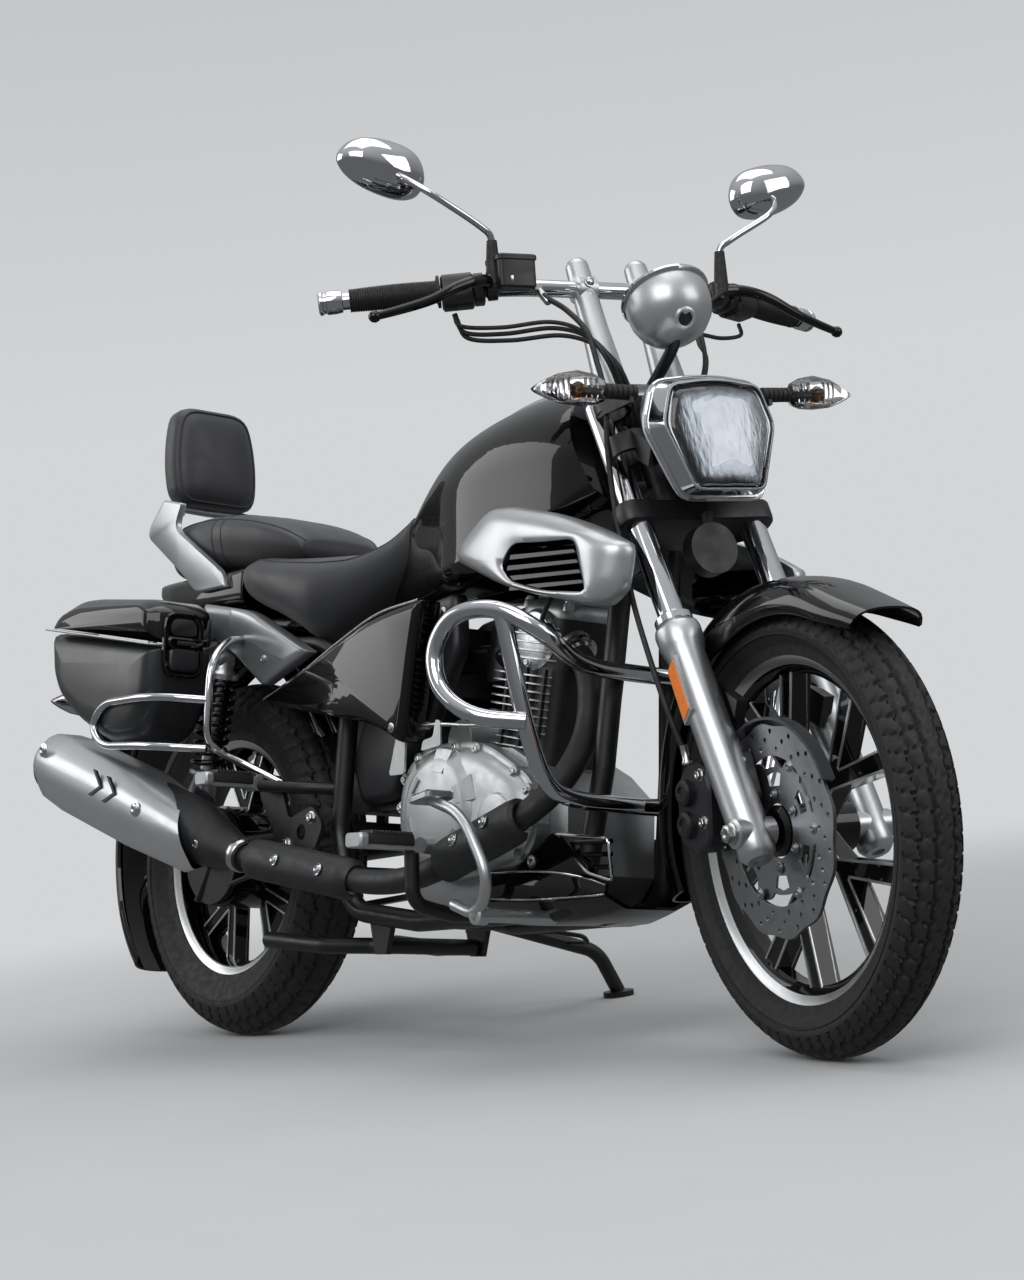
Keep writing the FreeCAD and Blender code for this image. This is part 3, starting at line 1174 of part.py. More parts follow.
def panniers(tubes, panels):
    whole = [(-210, 688), (-200, 632), (-172, 592), (-100, 548), (16, 494), (104, 502), (152, 556), (166, 640),
             (166, 700), (128, 724), (-120, 752), (-186, 738)]
    near, deep, wall = s.pannier_near, s.pannier_depth, s.pannier_wall
    seam = math.degrees(math.atan2(688 - 640, 166 + 210))
    hinge = LID_HINGE
    for tag, hand in (("right", -1), ("left", 1)):
        rows = [(near, 6), (near + 8, 0), (near + deep - s.pannier_bevel, 0), (near + deep, s.pannier_bevel)]
        skin = side_form(f"pannier_{tag}_skin", whole, [(hand * across, inward) for across, inward in rows])
        rows = [(near + wall, 10), (near + 12, 4), (near + deep - s.pannier_bevel - 1, 4),
                (near + deep - wall, s.pannier_bevel + 1)]
        room = side_form(f"pannier_{tag}_room", whole, [(hand * across, inward) for across, inward in rows])
        shell = cut(f"pannier_{tag}_shell", skin, [room])
        middle = hand * PANNIER_MIDDLE
        point = spot(hinge[0], float(middle), hinge[1])
        knuckles = []
        for number, start, length in ((0, -45, 25), (1, -19, 38), (2, 20, 25)):
            knuckles.append((rod(f"knuckle_{number}_{tag}", s.knuckle_radius, length, point + ACROSS * start, ACROSS),
                             rod(f"knuckle_room_{number}_{tag}", s.knuckle_radius + 1.5, length + 1.4,
                                 point + ACROSS * (start - 0.7), ACROSS)))
        pin = rod(f"hinge_pin_{tag}", s.hinge_pin, 86, point - ACROSS * 43, ACROSS)
        pin_room = rod(f"hinge_pin_room_{tag}", s.hinge_pin + s.running_gap, 88, point - ACROSS * 44, ACROSS)
        over = block(f"above_seam_{tag}", 600, 400, 300, VECTOR(0, 0, 0))
        under = block(f"below_seam_{tag}", 600, 400, 300, VECTOR(0, 0, 0))
        tilt = FreeCAD.Rotation(ACROSS, seam)
        for item, lift in ((over, 150), (under, float(-150 + s.lid_seam_gap))):
            centre = point + tilt.multVec(VECTOR(200, 0, lift))
            item.Placement = FreeCAD.Placement(centre, tilt) * item.Placement
        box = cut(f"pannier_{tag}_cut", shell, [over])
        latch = block(f"latch_{tag}", 12, 46, 58, (163, float(middle), 598), 9)
        box = fused(f"pannier_{tag}_hinged", [box, knuckles[0][0], knuckles[2][0], pin, latch])
        box = cut(f"pannier_{tag}_cleared", box, [knuckles[1][1]])
        box = fused(f"pannier_{tag}_pinned", [box, pin])
        keep(f"pannier_{tag}", [box])
        lid = cut(f"lid_{tag}_cut", shell, [under])
        lid = fused(f"lid_{tag}_hinged", [lid, knuckles[1][0]])
        lid = cut(f"lid_{tag}_cleared", lid, [knuckles[0][1], knuckles[2][1], pin_room])
        keep(f"pannier_lid_{tag}", [lid])

    def bracket(tag, hand):
        inner = hand * (near - 5)
        plate_side = plate(f"pannier_plate_{tag}", [(-140, 652), (110, 630), (110, 596), (-140, 618)], inner, 10)
        arms = [rod_between(f"pannier_arm_{row}_{tag}", 8, (x, hand * 118, high), (x, float(inner) - hand * 4, low))
                for row, (x, high, low) in enumerate(((20, 712, 630), (-110, 748, 636)))]
        return fused(f"pannier_bracket_{tag}", [plate_side] + arms)

    def rail(tag, hand):
        out = float(near + deep + s.rail_tube) + 0.3
        return tube(f"pannier_rail_{tag}", s.rail_tube, [
            (184, hand * 140, 658), (196, hand * 174, 648), (200, hand * 214, 600), (196, hand * 250, 556),
            (150, hand * out, 552), (20, hand * out, 552), (-16, hand * out, 520), (20, hand * out, 486),
            (150, hand * out, 478), (190, hand * 262, 470), (250, hand * 178, 456), (344, hand * 146, 404)], 26)

    keep("pannier_racks", each_side(bracket) + each_side(rail), carve=[tubes] + panels)


def foot_controls(tubes, pipe, covers):
    def peg(tag, hand):
        pad = block(f"peg_pad_{tag}", 44, 104, 26, (800, hand * 280, 296))
        core = rod_between(f"peg_core_{tag}", 12, (800, hand * 214, 292), (800, hand * 236, 293))
        return fused(f"rider_peg_{tag}", [pad, core])

    def rear_peg(tag, hand):
        pad = block(f"passenger_pad_{tag}", 40, 96, 24, (288, hand * 236, 416))
        core = rod_between(f"passenger_core_{tag}", 11, (300, hand * 172, 408), (290, hand * 200, 414))
        return fused(f"passenger_peg_{tag}", [pad, core])

    keep("foot_pegs", each_side(peg) + each_side(rear_peg), carve=[tubes])
    brake = tube("brake_pedal_arm", 8, [(880, -206, 204), (950, -214, 186), (992, -230, 238), (930, -232, 330),
                                        (870, -234, 356)], 40)
    pad = block("brake_pedal_pad", 30, 50, 14, (862, -238, 360), 10)
    link = rod_between("brake_pivot", 9, (950, -78, 188), (950, -222, 188))
    pedal = fused("pedal_body", [brake, pad, link])
    shift = tube("shift_arm", 7, [(700, 100, 244), (700, 146, 244), (800, 158, 230), (930, 168, 262)], 20)
    toe = rod_between("shift_toe", 11, (930, 168, 262), (930, 218, 262))
    controls = [pedal, fused("shift_body", [shift, toe])]
    keep("foot_controls", controls, carve=[tubes, pipe] + covers)
    return controls


def stands():
    normal = GROUND.Rotation.multVec(UP)
    pivot, foot = STAND_PIVOT, STAND_FOOT
    bend = foot + normal * 60 + (pivot - foot) * 0.12
    leg = tube("side_stand_leg", s.stand_tube, [pivot, bend, foot + normal * 9], 60)
    pad = rod("side_stand_foot", 26, 9, foot, normal)
    boss = rod("side_stand_boss", s.stand_tube + 2, s.stand_boss, pivot - STAND_AXIS * float(s.stand_boss / 2),
               STAND_AXIS)
    hook = [pivot + (bend - pivot) * share + VECTOR(*step) for share, step in (
        (0.42, (0, 0, 0)), (0.52, (44, 0, 6)), (0.66, (74, 0, 6)), (0.72, (66, 0, -2)), (0.74, (0, 0, 0)))]
    wire = tube("side_stand_hook", 4, hook, 12)
    hole_pin = rod("side_stand_bore", s.stand_pin + s.fit_gap, 80, pivot - STAND_AXIS * 40, STAND_AXIS)
    keep("side_stand", [fused("side_stand_body", [leg, pad, boss, wire])], carve=[hole_pin])
    bars = each_side(lambda tag, hand: tube(f"centre_leg_{tag}", 13, [
        (540, hand * 64, 150), (486, hand * 70, 150), (404, hand * 112, 150), (262, hand * 128, 160)], 40))
    cross = cross_rod("centre_bar", 13, 85, 540, 150)
    web = cross_rod("centre_web", 9, 84, 452, 150)
    pin_room = cross_rod("centre_bores", 6 + s.fit_gap, 120, 540, 150)
    keep("centre_stand", [fused("centre_stand_body", bars + [cross, web])], carve=[pin_room])


wheels()
fork_tubes, sliders, yokes = fork()
handlebar(yokes)
brackets, neighbours = lamps(fork_tubes, yokes)
front_fender(sliders, brackets, neighbours)
front_brake(sliders)
tubes = frame()
head, case, covers = engine(tubes)
pipe, silencer = exhaust(head, tubes)
tank, seat, cowl, rear_shell = bodywork(tubes, head)
arm, coils = chassis(tubes, 0)
panels = side_panels(tubes, tank, seat, cowl, coils)
drive(arm, case, tubes)
guards(tubes)
panniers(tubes, panels)
belly(tubes, covers, foot_controls(tubes, pipe, covers))
stands()
doc.recompute()


failed = [item.Name for item in doc.Objects if "Invalid" in item.State or "Error" in item.State]
if failed:
    raise RuntimeError(f"These failed to build: {failed}")
for item in parts:
    if item.Shape.isNull() or not item.Shape.isValid() or not item.Shape.Solids:
        raise RuntimeError(f"{item.Label} has no valid shape")
box = Part.makeCompound([item.Shape for item in parts]).optimalBoundingBox(False, False)
to_origin = FreeCAD.Placement(VECTOR(-box.Center.x, -box.Center.y, -box.ZMin), FreeCAD.Rotation())
print("origin", [round(number, 3) for number in to_origin.Base])
for item in parts:
    item.Placement = to_origin * item.Placement
os.makedirs("parts", exist_ok=True)
for item in parts:
    item.Shape.exportStep(f"parts/{item.Label}.step")
    print(item.Label, len(item.Shape.Solids), round(item.Shape.Volume / 1000), "cm3")
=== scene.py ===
import math

import bmesh
import bpy
from mathutils import Matrix, Vector


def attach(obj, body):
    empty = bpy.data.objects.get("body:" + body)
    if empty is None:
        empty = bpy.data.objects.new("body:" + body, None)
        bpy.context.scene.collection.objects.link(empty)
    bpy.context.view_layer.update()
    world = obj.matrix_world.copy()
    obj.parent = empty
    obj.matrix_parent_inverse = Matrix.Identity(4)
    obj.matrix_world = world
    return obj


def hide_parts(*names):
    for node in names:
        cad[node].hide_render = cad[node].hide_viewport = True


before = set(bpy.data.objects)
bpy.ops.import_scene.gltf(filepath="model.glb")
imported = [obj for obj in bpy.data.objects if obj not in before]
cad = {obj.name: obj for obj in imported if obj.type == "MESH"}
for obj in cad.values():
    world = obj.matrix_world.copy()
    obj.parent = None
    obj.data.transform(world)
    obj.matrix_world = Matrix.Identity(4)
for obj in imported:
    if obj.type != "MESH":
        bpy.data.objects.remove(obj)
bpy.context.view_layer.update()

# Every piece is drawn upright and straight ahead in millimetres: x forward, y to the left, z up, with the
# rear axle above the origin. These two places lean it on its side stand, and turn what the fork carries.
MM = Matrix.Scale(0.001, 4)
PARKED = MM @ Matrix((
    (0.9999997, 0.0001498, -0.0008201, -604.1767163),
    (0.0, 0.9837286, 0.1796607, -181.5142222),
    (0.0008337, -0.1796607, 0.9837283, 1.0783559),
    (0, 0, 0, 1),
))
TURNED = MM @ Matrix((
    (0.9787554, 0.2047402, -0.0109258, -572.5580804),
    (-0.2031576, 0.9756201, 0.0830206, 120.8526639),
    (0.0276571, -0.0790372, 0.9964879, -38.8439235),
    (0, 0, 0, 1),
))
PLACES = {"steering": TURNED, "front_wheel": TURNED}

REAR_AXLE = Vector((0, 0, 307))
FRONT_AXLE = Vector((1414, 0, 302))
RAKE = math.radians(25.44)
FORK = Vector((-math.sin(RAKE), 0, math.cos(RAKE)))
AHEAD = Vector((math.cos(RAKE), 0, math.sin(RAKE)))
STEM = FRONT_AXLE - AHEAD * 62.6
# The fork's legs: their distance from the middle, their height above the axle, and their yokes' heights.
LEG_OUT, LEG_HIGH = 91.8, 740
YOKES = (728, 512.8)
ACROSS = Vector((0, 1, 0))
UP = Vector((0, 0, 1))
HANDS = (-1, 1)
SIDES = (("right", -1), ("left", 1))
# Points closer than this many mm become one.
MERGED = 0.01
# How high each wheel's tyre begins, half its rim's width and the tyre's radius.
FRONT_BEAD, FRONT_RIM, FRONT_TYRE = 228.6, 28, 302
REAR_BEAD, REAR_RIM, REAR_TYRE = 203.2, 42, 307
HUB_FRONT = 58.8


def on_fork(along, out=0, ahead=0):
    """A place on the fork: up the steering axis from the axle's height, out to the left, ahead of it."""
    return STEM + FORK * along + ACROSS * out + AHEAD * ahead


# Materials


def colour(code):
    """An sRGB hex colour as linear numbers."""
    parts = [int(code[i:i + 2], 16) / 255 for i in (0, 2, 4)]
    return [c / 12.92 if c < 0.04045 else ((c + 0.055) / 1.055) ** 2.4 for c in parts] + [1.0]


def node(tree, kind, sockets=(), **settings):
    """Adds one node, sets it up, and links or fills its inputs."""
    made = tree.nodes.new(kind)
    for key, value in settings.items():
        setattr(made, key, value)
    for key, value in dict(sockets).items():
        if isinstance(value, bpy.types.NodeSocket):
            tree.links.new(value, made.inputs[key])
        else:
            made.inputs[key].default_value = value
    return made


def blank(name):
    """A material with an empty tree and its place in the object's own metres."""
    made = bpy.data.materials.new(name)
    made.use_nodes = True
    tree = made.node_tree
    tree.nodes.clear()
    place = node(tree, "ShaderNodeTexCoord").outputs["Object"]
    return made, tree, place


def close(tree, shader):
    node(tree, "ShaderNodeOutputMaterial", {"Surface": shader.outputs[0]})


def speckle(tree, place, size_mm, detail=3.0, stretch=(1, 1, 1)):
    """Noise whose patches are about size_mm across, from 0 to 1."""
    scale = [1000 / size_mm / s for s in stretch]
    spot = node(tree, "ShaderNodeMapping", {"Vector": place, "Scale": scale})
    return node(tree, "ShaderNodeTexNoise",
                {"Vector": spot.outputs[0], "Scale": 1.0, "Detail": detail}).outputs["Fac"]


def spread(tree, value, low, high, start=0.3, end=0.7):
    """The noise from start to end, stretched to go from low to high."""
    sockets = {"Value": value, "From Min": start, "From Max": end, "To Min": low, "To Max": high}
    return node(tree, "ShaderNodeMapRange", sockets).outputs[0]


def finish(name, code, rough, metallic=0.0, patch=(80, 0.06), rubbed=(25, 0.05), grain=(0.6, 0.01), edge=0.6,
           stretch=(1, 1, 1), **shader):
    """One surface: colour patches (mm, share), rubbed patches of gloss (mm, amount), grain (mm, depth in mm)
    and the round of its edges in mm."""
    made, tree, place = blank(name)
    tone = spread(tree, speckle(tree, place, patch[0]), 1 - patch[1], 1 + patch[1])
    base = node(tree, "ShaderNodeMix", {"Factor": 1.0, "A": colour(code)}, data_type="RGBA",
                blend_type="MULTIPLY")
    shades = node(tree, "ShaderNodeCombineColor", {"Red": tone, "Green": tone, "Blue": tone}).outputs[0]
    tree.links.new(shades, base.inputs["B"])
    gloss = spread(tree, speckle(tree, place, rubbed[0]), max(rough - rubbed[1], 0.02), rough + rubbed[1])
    worn = node(tree, "ShaderNodeBevel", {"Radius": edge / 1000}, samples=4).outputs[0]
    bump = node(tree, "ShaderNodeBump", {"Height": speckle(tree, place, grain[0], 2.0, stretch),
                                         "Normal": worn, "Strength": 1.0,
                                         "Distance": grain[1] / 1000}).outputs[0]
    sockets = {"Base Color": base.outputs["Result"], "Roughness": gloss, "Metallic": metallic, "Normal": bump}
    sockets.update({key.replace("_", " ").title().replace("Ior", "IOR"): value for key,
                    value in shader.items()})
    close(tree, node(tree, "ShaderNodeBsdfPrincipled", sockets))
    return made


# Paint under a clear coat: deep black, with soft waves in its mirror.
BLACK_PAINT = finish("gloss_black_paint", "040405", 0.3, patch=(120, 0.1), rubbed=(60, 0.04),
                     grain=(9, 0.006), specular_ior_level=0.04, coat_weight=0.8, coat_roughness=0.02)
# Decorative chrome: a mirror, a little warm and uneven where it was polished by hand.
CHROME = finish("chrome_plate", "c9cacd", 0.06, 1.0, patch=(60, 0.03), rubbed=(30, 0.03), grain=(14, 0.004),
                edge=0.8)
# Silver paint with fine metal flake, under a satin coat.
SILVER_PAINT = finish("satin_silver_paint", "b9bbbd", 0.34, 0.75, patch=(1.4, 0.05), rubbed=(40, 0.05),
                      grain=(1.2, 0.004), coat_weight=0.35, coat_roughness=0.18)
# Die cast aluminium: pale grey, dull, with the fine pitted skin of the mould.
CAST = finish("die_cast_aluminium", "b0b2b3", 0.42, 0.8, patch=(30, 0.05), rubbed=(14, 0.06),
              grain=(0.8, 0.02))
# Polished and lacquered aluminium fork legs and covers.
POLISHED = finish("lacquered_aluminium", "bcbec0", 0.33, 0.9, patch=(40, 0.04), rubbed=(24, 0.04),
                  grain=(1.0, 0.004))
# Cast fins whose edges were brushed bright.
FIN_EDGE = finish("brushed_fin_metal", "c2c4c5", 0.32, 0.85, patch=(16, 0.08), rubbed=(9, 0.08),
                  grain=(0.9, 0.02), edge=0.4)
# Ground steel discs: fine rings left by the grinding wheel.
GROUND = finish("ground_steel", "97989a", 0.36, 1.0, patch=(14, 0.05), rubbed=(9, 0.05), grain=(0.8, 0.006))
# Wheel edges turned bright on a lathe under clear lacquer.
MACHINED = finish("machined_wheel_edge", "cccecf", 0.3, 0.9, patch=(30, 0.04), rubbed=(20, 0.03),
                  grain=(1.2, 0.002))
# Powder coated steel: soft black with a light orange peel.
POWDER = finish("powder_coated_steel", "101113", 0.42, patch=(40, 0.12), rubbed=(20, 0.08), grain=(1.6, 0.03))
# High temperature paint on the pipe and muffler: matt black, slightly grey and rough.
HEAT = finish("heat_proof_paint", "17181a", 0.55, patch=(30, 0.16), rubbed=(15, 0.1), grain=(0.9, 0.04))
# Moulded polypropylene: dark grey, softly shining, finely grained.
PLASTIC = finish("moulded_plastic", "16171a", 0.4, patch=(50, 0.08), rubbed=(25, 0.06), grain=(0.9, 0.03))
# Tyre rubber: dull black, a little greyer where it is rubbed.
TYRE = finish("tyre_rubber", "19191b", 0.68, patch=(35, 0.16), rubbed=(10, 0.1), grain=(0.8, 0.05), edge=0.4)
# Moulded rubber of grips and pegs.
RUBBER = finish("moulded_rubber", "141416", 0.6, patch=(20, 0.12), rubbed=(8, 0.1), grain=(0.7, 0.04),
                edge=0.5)
# Vinyl seat cover: black, with a fine leather grain drawn at 1.6 mm so that it shows.
VINYL = finish("grained_vinyl", "1f2023", 0.48, patch=(70, 0.1), rubbed=(30, 0.06), grain=(1.6, 0.06),
               edge=0.5, sheen_weight=0.15, sheen_roughness=0.5)
# Waxed thread and piping of the seams, a shade lighter than the cover.
THREAD = finish("seam_piping", "26272b", 0.55, patch=(10, 0.12), rubbed=(6, 0.08), grain=(1.1, 0.08),
                edge=0.3)
# Textured satin graphite of the luggage cases.
GRAPHITE = finish("satin_graphite_plastic", "1d1e20", 0.36, patch=(90, 0.08), rubbed=(50, 0.05),
                  grain=(1.0, 0.02), coat_weight=0.25, coat_roughness=0.25)
# Dark silver paint with flake.
DARK_SILVER = finish("dark_silver_paint", "8a8c8f", 0.36, 0.6, patch=(1.4, 0.06), rubbed=(40, 0.05),
                     grain=(1.2, 0.004), coat_weight=0.4, coat_roughness=0.2)
# Dark grey moulded guard over the disc.
GUARD_GREY = finish("grey_moulded_plastic", "3a3c3f", 0.42, patch=(40, 0.08), rubbed=(20, 0.06),
                    grain=(0.9, 0.02))
# Bright fluted reflector behind the headlamp glass.
FLUTED = finish("fluted_reflector", "8e9297", 0.2, 1.0, patch=(24, 0.1), rubbed=(12, 0.04), grain=(7, 0.5),
                edge=0.5, stretch=(1, 1, 3))
# Zinc plated bolts: bright grey.
ZINC = finish("zinc_plated_steel", "b4b5b3", 0.25, 1.0, patch=(12, 0.05), rubbed=(9, 0.04), grain=(2, 0.003),
              edge=0.4)


def clear(name, code, rough, ribs):
    """Clear moulded plastic: it lets light through, with the ribs of the lens in its back."""
    made, tree, place = blank(name)
    waves = node(tree, "ShaderNodeTexWave", {"Vector": place, "Scale": ribs, "Distortion": 0.0})
    bump = node(tree, "ShaderNodeBump", {"Height": waves.outputs["Fac"], "Strength": 0.25,
                                         "Distance": 0.0006})
    close(tree, node(tree, "ShaderNodeBsdfPrincipled", {
        "Base Color": colour(code), "Roughness": rough, "IOR": 1.49, "Transmission Weight": 1.0,
        "Normal": bump.outputs[0]}))
    return made


LENS = clear("clear_polycarbonate", "f4f6f8", 0.02, 40)
BLINKER_LENS = clear("blinker_polycarbonate", "f6f4f2", 0.03, 60)
AMBER = clear("amber_plastic", "ffa23c", 0.08, 60)
# Orange reflector: prisms under clear plastic.
REFLECTOR = finish("orange_reflector", "f07c08", 0.3, patch=(3, 0.1), rubbed=(4, 0.05), grain=(2.4, 0.08),
                   edge=0.3, coat_weight=0.8, coat_roughness=0.04)
RED = finish("red_lens_plastic", "8c0c10", 0.12, patch=(10, 0.1), rubbed=(6, 0.02), grain=(3, 0.02),
             coat_weight=0.6, coat_roughness=0.03)

# Mirror glass: silvered, almost without a flaw.
GLASS = finish("silvered_glass", "e4e6e8", 0.02, 1.0, patch=(80, 0.01), rubbed=(60, 0.01), grain=(40, 0.004))

# The parts of the frame that show, by their finish.
WEARS = {
    BLACK_PAINT: ["tank", "side_covers", "front_fender", "rear_fender", "belly_pan", "pannier_right",
                  "pannier_left", "pannier_lid_right", "pannier_lid_left", "front_wheel", "rear_wheel"],
    CHROME: ["fork_tubes", "handlebar", "mirrors", "headlight_bezel", "tank_console", "backrest_bracket",
             "engine_guards", "pannier_racks"],
    SILVER_PAINT: ["fork_yokes", "headlight_shell", "gauge", "heat_shields", "tail_panels", "tank_scoops"],
    CAST: ["crankcase", "cylinder", "cylinder_head"],
    POLISHED: ["fork_sliders", "engine_covers", "foot_controls"],
    GROUND: ["front_disc", "rear_sprocket", "chain"],
    POWDER: ["frame", "fork_brackets", "swingarm", "shocks", "side_stand", "centre_stand"],
    HEAT: ["exhaust_pipe", "muffler"],
    PLASTIC: ["bar_controls", "hand_levers", "carburettor", "tail_cowl", "tail_housing", "front_caliper"],
    RUBBER: ["grips", "foot_pegs"],
    TYRE: ["front_tyre", "rear_tyre"],
    VINYL: ["rider_seat", "pillion_seat", "backrest"],
    LENS: ["headlight_lens"],
    AMBER: ["front_blinkers", "rear_blinkers"],
    RED: ["tail_light"],
}


for material, names in WEARS.items():
    for name in names:
        worn = cad[name].data.materials
        worn.clear()
        worn.append(material)


# Forms, drawn in millimetres


def squared(value, power):
    """A power that keeps the sign of the value."""
    return math.copysign(abs(value) ** power, value)


def turns(count):
    """The angles of a full turn, in as many steps."""
    return [math.tau * k / count for k in range(count)]


def oval(half, low, high, square, count):
    """A ring round (0, the middle of low and high); square 2 is an ellipse, more is boxier."""
    middle, tall = (low + high) / 2, (high - low) / 2
    return [(half * squared(math.cos(t), 2 / square), middle + tall * squared(math.sin(t), 2 / square))
            for t in turns(count)]


def curve(points, per=8, closed=False):
    """A smooth line through the points."""
    points = [Vector(p) for p in points]
    count = len(points)
    line = []
    for index in range(count if closed else count - 1):
        if closed:
            a, b, c, d = (points[(index + k) % count] for k in (-1, 0, 1, 2))
        else:
            b, c = points[index], points[index + 1]
            a = points[index - 1] if index else b * 2 - c
            d = points[index + 2] if index + 2 < count else c * 2 - b
        for step in range(per):
            t = step / per
            line.append(0.5 * (2 * b + (c - a) * t + (2 * a - 5 * b + 4 * c - d) * t * t
                               + (3 * b - a - 3 * c + d) * t ** 3))
    return line if closed else line + [points[-1]]


def rounded(corners, radius, steps=4):
    """The corners of a closed outline, each rounded off."""
    line = []
    count = len(corners)
    for index in range(count):
        before, here, after = (Vector(corners[(index + k) % count]) for k in (-1, 0, 1))
        reach = radius[index] if isinstance(radius, (list, tuple)) else radius
        one = here + (before - here).normalized() * min(reach, (before - here).length * 0.49)
        two = here + (after - here).normalized() * min(reach, (after - here).length * 0.49)
        for step in range(steps + 1):
            t = step / steps
            line.append(tuple(one * (1 - t) ** 2 + here * 2 * t * (1 - t) + two * t * t))
    return line


def shrunk(outline, amount):
    """The outline drawn in towards its middle, by that many mm at its ends and at its top and bottom."""
    lows = [min(point[k] for point in outline) for k in (0, 1)]
    highs = [max(point[k] for point in outline) for k in (0, 1)]
    middle = [(low + high) / 2 for low, high in zip(lows, highs)]
    share = [1 - amount * 2 / (high - low) for low, high in zip(lows, highs)]
    return [(middle[0] + (a - middle[0]) * share[0], middle[1] + (b - middle[1]) * share[1]) for a,
            b in outline]


def arced(points, reach):
    """A line through the points, with its corners bent round."""
    steps = 7
    points = [Vector(p) for p in points]
    line = [points[0]]
    for before, here, after in zip(points, points[1:], points[2:]):
        one = here + (before - here).normalized() * min(reach, (before - here).length * 0.48)
        two = here + (after - here).normalized() * min(reach, (after - here).length * 0.48)
        for step in range(steps + 1):
            t = step / steps
            line.append(one * (1 - t) ** 2 + here * 2 * t * (1 - t) + two * t * t)
    return line + [points[-1]]


class Form:
    """Faces in millimetres, before they become a piece."""

    def __init__(self):
        self.bm = bmesh.new()
        self.look = 0

    def face(self, corners):
        made = self.bm.faces.new(corners)
        made.material_index = self.look

    def skin(self, rings, ends=True, closed=True):
        """Faces between rings of as many points each."""
        rows = [[self.bm.verts.new(point) for point in ring] for ring in rings]
        count = len(rows[0])
        for one, two in zip(rows, rows[1:]):
            for index in range(count if closed else count - 1):
                after = (index + 1) % count
                self.face([one[index], one[after], two[after], two[index]])
        if ends:
            self.face(rows[0][::-1])
            self.face(rows[-1])
        return self

    def turn(self, profile, centre, axis, steps=40, ends=True):
        """The profile of (along, radius) turned about the axis."""
        axis = Vector(axis).normalized()
        side = axis.orthogonal().normalized()
        other = axis.cross(side)
        rings = []
        for along, radius in profile:
            radius = max(radius, 0.01)
            rings.append([Vector(centre) + axis * along + (side * math.cos(t) + other * math.sin(t)) * radius
                          for t in turns(steps)])
        return self.skin(rings, ends=ends)

    def bar(self, points, radius, per=8, steps=12, smooth=True, ends=True):
        """A round bar along a line; the radius may change from point to point."""
        line = curve(points, per) if smooth else [Vector(p) for p in points]
        count = len(line)
        radii = [radius] * count
        if not isinstance(radius, (int, float)):
            spots = [index * (len(radius) - 1) / (count - 1) for index in range(count)]
            radii = [radius[int(s)] + (radius[min(int(s) + 1, len(radius) - 1)] - radius[int(s)]) * (s % 1)
                     for s in spots]
        run = (line[1] - line[0]).normalized()
        side = run.orthogonal().normalized()
        rings = []
        for index, point in enumerate(line):
            ahead = (line[min(index + 1, count - 1)] - line[max(index - 1, 0)]).normalized()
            side = (side - ahead * side.dot(ahead)).normalized()
            other = ahead.cross(side)
            rings.append([point + (side * math.cos(t) + other * math.sin(t)) * radii[index]
                          for t in turns(steps)])
        return self.skin(rings, ends=ends)

    def tube(self, points, radius, reach=40, steps=14):
        """A bent tube: straight runs joined by bends."""
        return self.bar(arced(points, reach), radius, smooth=False, steps=steps)

    def sheet_of(self, loops, place, low, high):
        """A flat sheet with an outer loop and holes, from low to high through its thickness."""
        edges = []
        for loop in loops:
            corners = [self.bm.verts.new(place(a, b, low)) for a, b in loop]
            edges += [self.bm.edges.new((one, two)) for one, two in zip(corners, corners[1:] + corners[:1])]
        filled = bmesh.ops.triangle_fill(self.bm, use_beauty=True, edges=edges)
        faces = [item for item in filled["geom"] if isinstance(item, bmesh.types.BMFace)]
        for item in faces:
            item.material_index = self.look
        lifted = bmesh.ops.extrude_face_region(self.bm, geom=faces, use_keep_orig=True)
        shift = place(0, 0, high) - place(0, 0, low)
        for item in lifted["geom"]:
            if isinstance(item, bmesh.types.BMVert):
                item.co += shift
            elif isinstance(item, bmesh.types.BMFace):
                item.material_index = self.look
        return self

    def plaque(self, outline, place, steps):
        """A sheet built up from its outline: each step gives how far in and at which depth a ring lies."""
        rings = [[place(a, b, depth) for a, b in shrunk(outline, inward)] for inward, depth in steps]
        return self.skin(rings, ends=True)

    def bolt(self, at, axis, size=6.0, tall=5.0, washer=True):
        """A hexagon head on its washer, with a small hollow in its top."""
        if washer:
            self.turn([(-1, size * 1.5), (1.2, size * 1.5), (1.4, size * 1.3)], at, axis, 20)
        hexagon = size * 1.12
        self.turn([(0, hexagon), (tall - 0.8, hexagon), (tall, hexagon * 0.86), (tall, hexagon * 0.45),
                   (tall - 1.2, hexagon * 0.3)], at, axis, 6)
        return self

    def dome_bolt(self, at, axis, size=7.0, tall=4.0):
        """A round headed bolt with a hollow for its key."""
        self.turn([(-0.5, size * 1.25), (0.8, size * 1.25), (1.0, size), (tall * 0.7, size * 0.85),
                   (tall, size * 0.5), (tall - 2, size * 0.36)], at, axis, 20)
        return self

    def piece(self, name, looks, body="root", replaces=(), sharp=32):
        """Makes the faces one piece that rides on a body; edges sharper than so many degrees stay sharp."""
        bmesh.ops.remove_doubles(self.bm, verts=self.bm.verts, dist=MERGED)
        bmesh.ops.recalc_face_normals(self.bm, faces=self.bm.faces)
        self.bm.transform(PLACES.get(body, PARKED))
        mesh = bpy.data.meshes.new(name)
        self.bm.to_mesh(mesh)
        self.bm.free()
        mesh.shade_smooth()
        mesh.set_sharp_from_angle(angle=math.radians(sharp))
        for look in looks if isinstance(looks, (list, tuple)) else [looks]:
            mesh.materials.append(look)
        made = bpy.data.objects.new(name, mesh)
        bpy.context.scene.collection.objects.link(made)
        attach(made, body)
        if replaces:
            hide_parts(*replaces)
        return made


